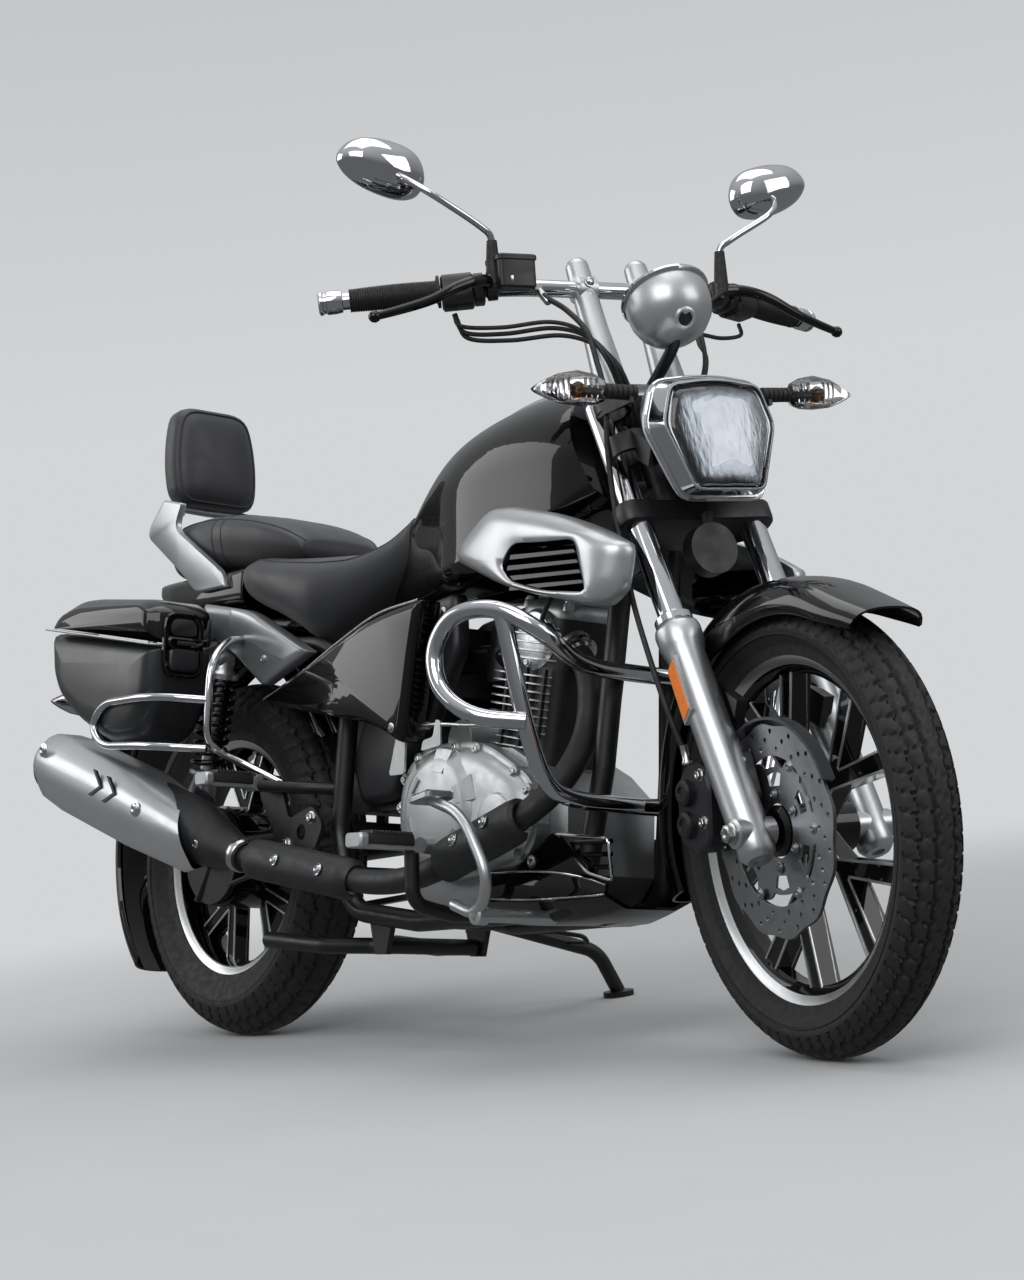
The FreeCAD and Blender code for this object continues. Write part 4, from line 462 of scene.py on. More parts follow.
def flat(x=None, y=None):
    """A place function for sheets that lie across the bike or along it: (a, b, depth)."""
    if y is None:
        return lambda a, b, depth: Vector((x + depth, a, b))
    return lambda a, b, depth: Vector((a, y + depth, b))


def beside(hand, out):
    """A place function for sheets on one side of the bike, whose depth grows outwards."""
    return lambda a, b, depth: Vector((a, hand * (out + depth), b))


def box(low_a, low_b, high_a, high_b):
    """The four corners of a rectangle."""
    return [(low_a, low_b), (high_a, low_b), (high_a, high_b), (low_a, high_b)]


def circle(centre, radius, count):
    """Points on a circle."""
    return [(centre[0] + radius * math.cos(t), centre[1] + radius * math.sin(t)) for t in turns(count)]


def beam(rings, per):
    """The rings joined by smooth lines, with so many steps from one to the next."""
    return [list(ring) for ring in zip(*[curve(column, per) for column in zip(*rings)])]


# Wheels and tyres


def groove(along, out, pitch):
    """How deep the tread is cut at a place, from 0 to 1: two waved grooves, and slots to the shoulders."""
    wave = abs((along / pitch) % 1 - 0.5) * 2
    depth = 0.0
    side = abs(out)
    for line, width, swing in ((0.24, 0.045, 0.06), (0.56, 0.05, 0.08)):
        if abs(side - line - (wave - 0.5) * swing) < width:
            depth = 1.0
    skew = along + side * pitch * (0.9 if out > 0 else -0.9) + (pitch / 2 if out > 0 else 0)
    if 0.3 < side < 0.5 and (skew / pitch) % 1 < 0.13:
        depth = max(depth, 0.8)
    if 0.6 < side < 0.97 and ((skew + pitch * 0.35) / pitch) % 1 < 0.16:
        depth = 1.0
    if side < 0.16 and ((along + out * pitch) / pitch) % 1 < 0.07:
        depth = max(depth, 0.6)
    return depth


def tyre(name, body, centre, radius, half, bead, rim_half, pitch):
    """Sidewalls that bulge a little, a round crown and its tread, worked out from the tyre's real size."""
    tall = radius - bead
    shoulder = bead + tall * 0.55
    across, round_steps, bow, deepest = 44, int(math.tau * radius / 4.4), 1.12, 5.2
    crown = []
    for step in range(across + 1):
        out = -1 + 2 * step / across
        rise = 1 - (1 - math.cos(out * bow)) / (1 - math.cos(bow))
        crown.append((half * math.sin(out * bow) / math.sin(bow), shoulder + (radius - shoulder) * rise, out))
    wall = [(rim_half + 0.5, bead + 1), (rim_half + 3, bead + 14), (rim_half + 4, bead + 17),
            (rim_half + (half - rim_half) * 0.72, bead + tall * 0.34), (half, bead + tall * 0.46)]
    profile = [(-a, b, None) for a, b in wall] + crown + [(a, b, None) for a, b in reversed(wall)]
    form = Form()
    rings = []
    for angle in turns(round_steps):
        ring = []
        for out, up, share in profile:
            height = up - (0.0 if share is None else groove(angle * radius, share, pitch) * deepest)
            ring.append(Vector(centre) + Vector((math.cos(angle) * height, out, math.sin(angle) * height)))
        rings.append(ring)
    form.skin(rings + [rings[0]], ends=False, closed=False)
    for hand in HANDS:
        form.turn([(hand * (half - 1.5), shoulder - 8), (hand * (half + 0.6), shoulder - 9),
                   (hand * (half + 0.4), shoulder - 11), (hand * (half - 2.5), shoulder - 12)], centre,
                  ACROSS, 120, ends=False)
    return form.piece(name, TYRE, body, [body.replace("wheel", "tyre")], sharp=38)


def wheel(name, body, centre, bead, rim_half, hub_half, hub_radius, turned_by):
    """A cast rim in black with bright lips, and five forked spokes whose edges were machined bright."""
    form = Form()
    lip = bead + 13
    floor = bead - 17
    form.turn([(-rim_half + 4, bead + 1), (-rim_half + 8, floor + 4), (-10, floor - 6), (10, floor - 6),
               (rim_half - 8, floor + 4), (rim_half - 4, bead + 1), (rim_half - 4, bead + 4),
               (rim_half - 10, floor + 9), (-rim_half + 10, floor + 9), (-rim_half + 4, bead + 4),
               (-rim_half + 4, bead + 1)], centre, ACROSS, 120, ends=False)
    form.look = 1
    for hand in HANDS:
        form.turn([(hand * (rim_half - 9), floor + 4), (hand * (rim_half - 4), bead - 6),
                   (hand * rim_half, bead + 2), (hand * (rim_half + 1.5), lip - 1.5),
                   (hand * (rim_half - 1), lip + 1), (hand * (rim_half - 5), lip),
                   (hand * (rim_half - 7), bead + 3), (hand * (rim_half - 11), floor + 8)], centre, ACROSS,
                  120, ends=False)
    reach = floor + 1
    near, far = math.radians(12), math.radians(20)
    inner, split, notch = hub_radius - 4, reach * 0.42, reach * 0.56
    outline = [(-15, inner), (-11, split), (-reach * math.sin(far), reach * math.cos(far)),
               (-reach * math.sin(near), reach * math.cos(near)), (0, notch),
               (reach * math.sin(near), reach * math.cos(near)),
               (reach * math.sin(far), reach * math.cos(far)), (11, split), (15, inner)]
    for spoke in range(5):
        angle = math.tau * spoke / 5 + turned_by
        cosine, sine = math.cos(angle), math.sin(angle)

        def place(a, b, d, cosine=cosine, sine=sine):
            crown = 4 * (1 - min(b / reach, 1)) if d > 0 else -4 * (1 - min(b / reach, 1))
            return Vector(centre) + Vector((a * cosine - b * sine, d + crown, a * sine + b * cosine))

        for hand in HANDS:
            form.look = 0
            form.sheet_of([outline], place, 0, hand * 10.5)
        for low, high in ((-12.5, -10.5), (10.5, 12.5)):
            form.look = 1
            for run in ((0, 1, 2), (3, 4, 5), (6, 7, 8)):
                corners = [Vector(outline[index]) for index in run]
                for one, two in zip(corners, corners[1:]):
                    ahead = (two - one).normalized()
                    wide = Vector((-ahead.y, ahead.x)) * -3.2
                    quad = [tuple(one), tuple(two), tuple(two + wide), tuple(one + wide)]
                    form.sheet_of([quad], place, low, high)
    form.look = 0
    form.turn([(-hub_half, 9), (-hub_half, hub_radius * 0.8), (-hub_half + 5, hub_radius),
               (hub_half - 5, hub_radius), (hub_half, hub_radius * 0.8), (hub_half, 9)], centre, ACROSS, 60)
    return form.piece(name, [BLACK_PAINT, MACHINED], body, [body], sharp=30)


def brake_disc():
    """A ground disc with a waved rim and drilled holes, on a lobed carrier with its buttons."""
    out, thick = -(HUB_FRONT - 1), 5
    outer = [(FRONT_AXLE.x + (140 + 2.4 * math.sin(t * 12)) * math.cos(t),
              FRONT_AXLE.z + (140 + 2.4 * math.sin(t * 12)) * math.sin(t))
             for t in turns(240)]
    centre = (FRONT_AXLE.x, FRONT_AXLE.z)
    holes = [circle(centre, 99, 60)]
    for row in range(36):
        for radius, shift in ((108, 0), (120, 0.35), (131, 0.7)):
            if (row + (radius == 120)) % 2 == 0:
                t = math.tau * (row + shift) / 36
                holes.append(circle((centre[0] + radius * math.cos(t), centre[1] + radius * math.sin(t)), 3.4,
                                    10))
    form = Form()
    form.sheet_of([outer] + holes, flat(y=out), 0, thick)
    carrier = []
    for t in turns(120):
        radius = 84 + 17 * max(0.0, math.cos(t * 6)) ** 0.7
        carrier.append((centre[0] + radius * math.cos(t), centre[1] + radius * math.sin(t)))
    slots = [circle(centre, 36, 40)]
    for k in range(6):
        t = math.tau * (k + 0.5) / 6
        ends = [(60, -0.2), (60, 0.2), (76, 0.22), (79, 0), (76, -0.22)]
        slots.append([(centre[0] + r * math.cos(t + d), centre[1] + r * math.sin(t + d)) for r, d in ends])
    form.sheet_of([carrier] + slots, flat(y=out + thick), 0.5, 4)
    for k in range(6):
        t = math.tau * k / 6
        form.dome_bolt((centre[0] + 94 * math.cos(t), out, centre[1] + 94 * math.sin(t)), -ACROSS, 6.5, 3)
        t += math.tau / 12
        form.dome_bolt((centre[0] + 48 * math.cos(t), out + 4, centre[1] + 48 * math.sin(t)), -ACROSS, 6, 5)
    form.piece("drilled_disc", GROUND, "front_wheel", ["front_disc"], sharp=30)


tyre("front_tread", "front_wheel", FRONT_AXLE, FRONT_TYRE, 45, FRONT_BEAD, FRONT_RIM, 27)
tyre("rear_tread", "rear_wheel", REAR_AXLE, REAR_TYRE, 64, REAR_BEAD, REAR_RIM, 34)
wheel("front_cast_wheel", "front_wheel", FRONT_AXLE, FRONT_BEAD, FRONT_RIM, HUB_FRONT, 34, 0.35)
wheel("rear_cast_wheel", "rear_wheel", REAR_AXLE, REAR_BEAD, REAR_RIM, 72, 88, 0.1)
brake_disc()


# Headlight, gauge, blinkers and mirrors


# The headlight's middle height, and how far its face leans back with each mm of height.
LAMP_HIGH, LAMP_SLANT = 850, 0.14


def six_sides(half, low, high, radius):
    """The headlight's six cornered outline, wide above its middle and narrow at its foot."""
    side = low + (high - low) * 0.6
    corners = [(-half, side), (-half * 0.62, low), (half * 0.62, low), (half, side), (half * 0.8, high - 7),
               (half * 0.2, high), (-half * 0.2, high), (-half * 0.8, high - 7)]
    return rounded(corners, radius)


def facing(forward, half, low, high, radius, crown):
    """That outline as a ring across the bike; crown pulls its sides back, as on a swept lens."""
    return [Vector((forward - (z - LAMP_HIGH) * LAMP_SLANT - crown * (y / 90) ** 2, y, z))
            for y, z in six_sides(half, low, high, radius)]


def headlight():
    """The silver shell, the chrome rim, the lens and the fluted bowl behind it."""
    shell = Form()
    shell.skin([facing(*row) for row in (
        (1118, 30, 868, 906, 16, 0), (1132, 48, 846, 930, 26, 0), (1160, 68, 824, 943, 30, 2),
        (1196, 88, 796, 948, 30, 5), (1222, 100, 776, 947, 26, 8), (1240, 106, 764, 945, 20, 10),
        (1241, 102, 768, 942, 18, 10))])
    shell.piece("headlight_cover", SILVER_PAINT, "steering", ["headlight_shell"])
    bezel = Form()
    bezel.skin([facing(*row) for row in (
        (1238, 102, 768, 942, 18, 10), (1242, 105, 765, 945, 18, 10), (1246, 106, 764, 946, 18, 10),
        (1248, 104, 766, 944, 17, 10), (1247, 101, 769, 942, 16, 10), (1264, 93, 773, 937, 14, 7),
        (1269, 91, 775, 936, 13, 6), (1270, 88, 778, 933, 12, 6), (1264, 85, 781, 930, 12, 6),
        (1252, 84, 782, 929, 12, 6))], ends=False)
    bezel.piece("chrome_bezel", CHROME, "steering", ["headlight_bezel"], sharp=24)
    lens = Form()
    lens.skin([facing(*row, 6) for row in (
        (1259, 85, 781, 930, 12), (1266, 84.5, 781.5, 929.5, 12), (1271, 76, 789, 922, 14),
        (1275, 58, 804, 908, 20), (1277, 30, 828, 884, 20), (1278, 6, 848, 864, 6))])
    lens.piece("lamp_lens", LENS, "steering", ["headlight_lens"], sharp=60)
    bowl = Form()
    outline = six_sides(84, 782, 929, 12)
    rings = []
    for x, scale in ((1262, 1.0), (1250, 0.97), (1228, 0.84), (1206, 0.62), (1192, 0.4), (1186, 0.2)):
        ring = []
        for index, (y, z) in enumerate(outline):
            flute = 1.5 if index % 2 else -1.5
            ring.append(Vector((x - (z - LAMP_HIGH) * LAMP_SLANT * scale - flute, y * scale,
                                852 + (z - 852) * scale)))
        rings.append(ring)
    bowl.skin(rings)
    for step in range(7):
        wide = 60 - abs(step - 3) * 4
        bowl.bar([(1246 - step * 0.4, -wide, 798 + step * 6), (1250 - step * 0.4, 0, 797 + step * 6),
                  (1246 - step * 0.4, wide, 798 + step * 6)], 2.2, per=6, steps=6)
    bowl.sheet_of([rounded([(-46, 800), (46, 800), (34, 838), (-34, 838)], 5)], flat(x=1232), 0, 3)
    bowl.turn([(0, 12), (12, 12), (16, 9), (22, 6), (26, 0.1)], (1206, 0, 858), (1, 0, 0), 20)
    bowl.piece("lamp_reflector", FLUTED, "steering", sharp=20)


def gauge():
    """The round cup with its ring, its face and the post that carries it."""
    foot, axis = Vector((1162, 0, 1034)), Vector((-0.5, 0, 0.866)).normalized()
    dome = Form()
    profile = [(-21.5, 6), (-21, 20), (-17, 34), (-8, 46), (6, 56), (22, 61), (40, 62), (51, 61)]
    dome.turn(profile, foot, axis, 64)
    port, look_down = foot + Vector((35, -6, 1)), Vector((0.93, -0.1, -0.36))
    dome.turn([(0, 15), (3, 17), (5, 14), (4, 11), (-2, 10)], port, look_down, 30)
    dome.look = 1
    dome.turn([(2, 12), (2.2, 0.1)], port, look_down, 24)
    dome.piece("gauge_cup", [SILVER_PAINT, PLASTIC], "steering", ["gauge"])
    post = Form()
    post.bar([foot + Vector((-4, 0, 6)), foot + Vector((-14, 0, -30)), on_fork(734, 0, 12)], 9, steps=16)
    post.piece("gauge_post", POWDER, "steering")
    ring = Form()
    ring.turn([(49, 58), (49, 64), (52, 66), (56, 65.5), (59, 62), (58, 56), (56.5, 55)], foot, axis, 64,
              ends=False)
    ring.piece("gauge_ring", CHROME, "steering")
    face = Form()
    face.turn([(54, 57.5), (56, 56), (57, 40), (57.5, 0.1)], foot, axis, 64)
    up = Vector((0.866, 0, 0.5))
    face.look = 1
    for step in range(41):
        angle = math.radians(-135 + step * 6.75)
        run = ACROSS * math.sin(angle) + up * math.cos(angle)
        inner = 40 if step % 5 == 0 else 44
        face.bar([foot + axis * 57.8 + run * inner, foot + axis * 57.8 + run * 49], 0.7, smooth=False,
                 steps=4)
    face.bar([foot + axis * 58.6 - Vector((0, 8, 0)), foot + axis * 58.6 + Vector((20, 26, 12))], 1.1,
             smooth=False, steps=5)
    face.piece("gauge_dial", [PLASTIC, POLISHED], "steering")


def blinker(tag, body, at, out, ahead):
    """A leaf shaped clear lens, pointed outwards, with an amber bulb on a ribbed rubber stalk."""
    at, out, ahead = Vector(at), Vector(out).normalized(), Vector(ahead).normalized()
    rows = ((-44, 11, 6), (-41, 16, 12), (-26, 22, 19), (-2, 24.5, 22), (26, 20.5, 18), (46, 13, 11),
            (62, 5, 5), (67, 1, 1))

    def rings(scale):
        made = []
        for along, tall, deep in rows:
            spine = at + out * along * scale + UP * (3 - abs(along) * 0.06)
            made.append([spine + UP * tall * scale * math.sin(t)
                         + ahead * deep * scale * (math.cos(t) if math.cos(t) > 0 else 0.75 * math.cos(t))
                         for t in turns(28)])
        return made

    lens = Form()
    lens.skin(rings(1.0))
    lens.piece(f"{tag}_lens", BLINKER_LENS, body, sharp=60)
    inside = Form()
    inside.skin([[point - ahead * max((point - at).dot(ahead), 0) * 0.9 for point in ring]
                 for ring in rings(0.93)])
    for step in range(8):
        along = -28 + step * 8
        if abs(along) > 10:
            middle = at + out * along + ahead * 3
            inside.bar([middle - UP * 12, middle + UP * 14], 1.6, smooth=False, steps=6)
    inside.piece(f"{tag}_mirror", CHROME, body)
    bulb = Form()
    bulb.turn([(-2, 9), (4, 9.5), (9, 8), (13, 4), (14, 0.1)], at + ahead, ahead, 20)
    bulb.piece(f"{tag}_bulb", AMBER, body, sharp=60)
    stalk = Form()
    for step in range(6):
        middle = at - out * (48 + step * 8)
        stalk.turn([(-3.6, 8.5), (-3.2, 10.5), (3.2, 10.5), (3.6, 8.5)], middle, out, 20)
    stalk.bar([at - out * 92, at - out * 40], 8.8, smooth=False, steps=20)
    stalk.piece(f"{tag}_stalk", RUBBER, body)


def mirror(tag, hand):
    """A leaf shaped chrome shell with a glass, on a bent chrome stem that ends in a rubber sleeve."""
    middle = Vector((922, hand * 332, 1312))

    def at(a, u, deep):
        return middle + Vector((deep, hand * a, u + a * 0.18))

    outline = [(-66, -2), (-60, 24), (-42, 38), (-10, 43), (26, 40), (52, 27), (68, 4), (60, -16), (38, -30),
               (6, -38), (-28, -39), (-54, -28)]
    line = [(p.x, p.y) for p in curve([(a, b, 0) for a, b in outline], 4, closed=True)]
    shell = Form()
    rings = []
    for scale, deep in ((0.93, -22), (1.0, -20), (1.01, -15), (0.99, -6), (0.92, 4), (0.8, 12), (0.6, 19),
                        (0.35, 23), (0.1, 24.5)):
        rings.append([at(a * scale, b * scale, deep) for a, b in line])
    shell.skin(rings)
    shell.piece(f"mirror_shell_{tag}", CHROME, "steering", ["mirrors"], sharp=50)
    glass = Form()
    glass.skin([[at(a * scale, b * scale, deep) for a, b in line] for scale, deep in (
        (0.93, -21.5), (0.93, -22.6), (0.9, -23), (0.5, -23.4))])
    glass.piece(f"mirror_glass_{tag}", GLASS, "steering")
    stem = Form()
    start = Vector((977, hand * 194, 1143))
    points = [start, start + Vector((2, 0, 50)), Vector((985, hand * 214, 1212)),
              Vector((986, hand * 282, 1252)), Vector((962, hand * 312, 1280)),
              Vector((930, hand * 324, 1300))]
    stem.bar(points, 5.2, steps=16)
    stem.turn([(-6, 8), (0, 13), (5, 13), (9, 8)], points[-1] - Vector((0, 0, 2)), (-1, 0, 0.6), 20)
    stem.piece(f"mirror_stem_{tag}", CHROME, "steering", sharp=50)
    sleeve = Form()
    sleeve.bar([start - UP * 14, start, start + Vector((1, 0, 28)), start + Vector((2, 0, 50))],
               [11.5, 11, 9.2, 7.6], steps=20)
    sleeve.turn([(0, 12), (8, 12), (9, 10)], start - UP * 16, UP, 6)
    sleeve.piece(f"mirror_sleeve_{tag}", RUBBER, "steering")


headlight()
gauge()
for tag, hand in SIDES:
    mirror(tag, hand)
    blinker(f"front_blinker_{tag}", "steering", (1206, hand * 194, 926), (-0.06, hand, 0.03), (1, 0, 0.1))
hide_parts("front_blinkers")


# Seats


# How narrow a cushion is at its foot, as a share of its width.
TUCKED = 0.9


def cushion(rows, square, crown=6):
    """Rings along a seat from rows of (x, half width, lowest, highest): crowned on top, tucked in below."""
    rings = []
    for x, half, low, high in rows:
        ring = []
        for y, z in oval(half, low, high, square, 40):
            share = (z - low) / (high - low)
            ring.append(Vector((x, y * (TUCKED + (1 - TUCKED) * min(share * 1.7, 1)),
                                z + crown * max(0.0, 1 - (y / half) ** 2) * (share > 0.5))))
        rings.append(ring)
    return beam(rings, 5)


def seam(form, rings, column, radius=1.5, rows=None, lift=0.0):
    """A sewn cord along a cushion, on one column of its rings."""
    line = [ring[column] for ring in rings][rows or slice(None)]
    return form.bar([point + UP * lift for point in line], radius, smooth=False, steps=6)


def seats():
    """The rider's and the pillion's cushions, the back cushion, and the silver frame beside them."""
    rows = ((133, 96, 754, 792), (136, 116, 738, 803), (152, 130, 728, 811), (186, 140, 714, 810),
            (228, 146, 700, 802), (300, 149, 668, 794), (352, 146, 640, 790), (384, 138, 640, 788),
            (430, 116, 664, 787), (490, 88, 706, 802), (530, 72, 732, 826), (546, 66, 744, 838),
            (549, 60, 750, 834))
    rings = cushion(rows, 3.0)
    form = Form()
    form.skin(rings)
    form.look = 1
    for column in (5, 15):
        seam(form, rings, column, 1.3, slice(6, -3), 0.4)
    saddle = form.piece("rider_cushion", [VINYL, THREAD], "root", ["rider_seat"], sharp=70)
    rows = ((-150, 84, 816, 880), (-148, 94, 810, 890), (-136, 104, 807, 899), (-96, 114, 806, 908),
            (-30, 119, 805, 910), (40, 120, 804, 905), (110, 117, 800, 894), (170, 110, 796, 879),
            (220, 98, 796, 860), (256, 84, 797, 838), (263, 70, 800, 826))
    rings = cushion(rows, 3.8, crown=3)
    form = Form()
    form.skin(rings)
    form.look = 1
    for column in (4, 16):
        seam(form, rings, column, 1.4, slice(3, -4), 0.4)
    for ring in (rings[26], rings[24]):
        form.bar([p for p in ring if p.z > 812], 1.2, smooth=False, steps=6)
    rear = form.piece("pillion_cushion", [VINYL, THREAD], "root", ["pillion_seat"], sharp=70)
    outline = rounded([(-80, 955), (80, 955), (89, 1014), (85, 1082), (70, 1141), (-70, 1141), (-85, 1082),
                       (-89, 1014)], (30, 30, 60, 60, 36, 36, 60, 60), 5)

    def place(a, b, deep):
        return Vector((-172 + deep - (b - 940) * 0.12, a, b))

    form = Form()
    form.plaque(outline, place, ((36, -28), (12, -29), (4, -26), (0, -19), (-1.5, -4), (-1, 8), (2, 16),
                                 (6, 20), (9, 20.5), (13, 24), (20, 28.5), (34, 33), (56, 36), (76, 37)))
    form.look = 1
    ring = [place(a, b, 20.8) for a, b in shrunk(outline, 7)]
    form.bar(ring + ring[:1], 1.7, smooth=False, steps=8, ends=False)
    rest = form.piece("back_cushion", [VINYL, THREAD], "root", ["backrest"], sharp=70)
    blades = Form()
    for hand in HANDS:
        outline = rounded([(96, 764), (0, 764), (-40, 798), (-174, 886), (-171, 904), (-122, 948), (-60, 934),
                           (-84, 892), (84, 792)], (6, 20, 30, 14, 14, 5, 5, 26, 14), 4)
        blades.plaque(outline, beside(hand, 121),
                      ((2, 0), (0, 1.5), (0, 9), (2, 12), (5, 13)))
        blades.bar([(-128, hand * 122, 920), (-160, hand * 100, 940), (-184, hand * 60, 950), (-189, 0, 950)],
                   8, steps=16)
        blades.sheet_of([rounded([(-200, 938), (-182, 938), (-196, 1010), (-210, 1010)], 3)],
                        flat(y=hand * 62), -9, 9)
    blades.piece("grab_frame", SILVER_PAINT, "root", ["backrest_bracket"], sharp=40)


# Bodywork


def panel(outline, hand, near, steps, look, name, body="root", replaces=(), sharp=34):
    """A moulded panel on one side: its outline built outwards by steps of (inwards, out)."""
    form = Form()
    form.plaque(outline, beside(hand, near), steps)
    return form.piece(name, look, body, replaces, sharp)


def pannier(tag, hand):
    """A hard case, its lid with a bright strip along its rim, and the latch on its front."""
    def out(points, steps, look, name, body="root", **extra):
        return panel(points, hand, 190, steps, look, name, body, **extra)

    lower = rounded([(-207, 700), (-199, 634), (-173, 588), (-104, 538), (14, 484), (104, 492), (150, 550),
                     (162, 638)], (3, 18, 24, 30, 30, 30, 26, 3), 4)
    out(lower, ((8, 0), (1, 8), (0, 16), (0, 84), (3, 98), (9, 109), (18, 116), (32, 120), (60, 122)),
        GRAPHITE, f"pannier_case_{tag}", replaces=[f"pannier_{tag}"], sharp=60)
    top = rounded([(-208, 708), (-186, 738), (-120, 753), (126, 725), (163, 702), (164, 645)],
                  (3, 20, 40, 30, 12, 3), 5)
    out(top, ((9, 0), (1, 8), (0, 14), (0, 76), (4, 94), (12, 106), (17, 111), (19, 116), (22, 119),
              (34, 121)), BLACK_PAINT, f"pannier_lid_shell_{tag}", f"pannier_lid_{tag}",
        replaces=[f"pannier_lid_{tag}"], sharp=50)
    strip = Form()
    rim = [(-208, 701.5), (-150, 692), (0, 667), (160, 640)]
    strip.bar([Vector((a, hand * 311.4, b + 2.5)) for a, b in rim], 2.0, smooth=False, steps=8)
    for corner in ([(-208, hand * 311.4, 704), (-212, hand * 300, 704.5), (-212, hand * 206, 704.5)],
                   [(160, hand * 311.4, 642.5), (166, hand * 300, 642), (166, hand * 288, 642)]):
        strip.bar(corner, 2.0, per=4, steps=8)
    strip.piece(f"lid_strip_{tag}", POLISHED, f"pannier_lid_{tag}")
    latch = Form()

    def front(a, b, depth):
        return Vector((161 + depth, hand * a, b))

    latch.look = 1
    latch.plaque(rounded(box(212, 590, 288, 700), 26, 5), front,
                 ((0, 1), (0, 5.5), (2.5, 7.5), (6, 7.5), (8, 5), (10, 4.5)))
    latch.look = 0
    latch.plaque(rounded(box(222, 600, 278, 640), 12, 4), front, ((0, 4), (0, 9), (3, 12), (8, 13)))
    latch.plaque(rounded([(224, 660), (276, 660), (272, 688), (228, 688)], 12, 4), front,
                 ((0, 4), (0, 7), (3, 8)))
    latch.look = 1
    latch.plaque(rounded([(218, 638), (282, 638), (284, 656), (216, 656)], 6, 3), front,
                 ((0, 4), (0, 13), (3, 16)))
    latch.look = 0
    latch.plaque(rounded(box(232, 643, 268, 650), 3, 3), front, ((0, 14), (0, 16.6), (1, 17)))
    latch.piece(f"pannier_latch_{tag}", [PLASTIC, BLACK_PAINT], f"pannier_lid_{tag}", sharp=30)


def trim(outline_part, hand, out, radius, name, look):
    """A raised line along an edge."""
    form = Form()
    form.bar([Vector((a, hand * out, b)) for a, b in outline_part], radius, per=6, steps=8)
    return form.piece(name, look, "root")


def side_forms(tag, hand):
    """The side cover with its bright line, the tail panel and its pale inlay."""
    cover = rounded([(256, 552), (380, 590), (488, 630), (590, 662), (704, 673), (690, 610), (664, 452),
                     (588, 490), (400, 522)], (6, 60, 60, 60, 4, 30, 16, 60, 60), 4)
    panel(cover, hand, 110, ((2, 0), (0, 3), (0, 34), (1.5, 39), (5, 42), (10, 42.5), (12, 44), (16, 45)),
          BLACK_PAINT, f"side_cover_{tag}", replaces=["side_covers"] if tag == "right" else (), sharp=50)
    trim([(262, 554), (380, 591), (488, 631), (590, 662.5), (698, 673)], hand, 150, 2.2, f"cover_line_{tag}",
         CHROME)
    tail = rounded([(55, 738), (206, 710), (388, 623), (252, 578), (150, 648), (65, 690)],
                   (8, 30, 5, 10, 30, 10), 5)
    panel(tail, hand, 126, ((2, 0), (0, 3), (0, 18), (2, 22), (6, 24.5), (14, 26)), DARK_SILVER,
          f"tail_panel_{tag}", replaces=["tail_panels"] if tag == "right" else (), sharp=50)
    pale = rounded([(150, 718), (206, 704), (372, 624), (318, 612), (226, 652), (172, 668), (148, 694)],
                   (6, 30, 3, 10, 16, 14, 10), 5)
    panel(pale, hand, 148, ((0, 0), (0, 3.4), (1.5, 4.4), (5, 5)), SILVER_PAINT, f"tail_inlay_{tag}",
          sharp=40)
    bolt = Form()
    bolt.dome_bolt((262, hand * 151, 622), ACROSS * hand, 7, 5)
    bolt.dome_bolt((640, hand * 155, 480), ACROSS * hand, 6, 4)
    bolt.piece(f"panel_bolts_{tag}", ZINC, "root")
    scoop(tag, hand)


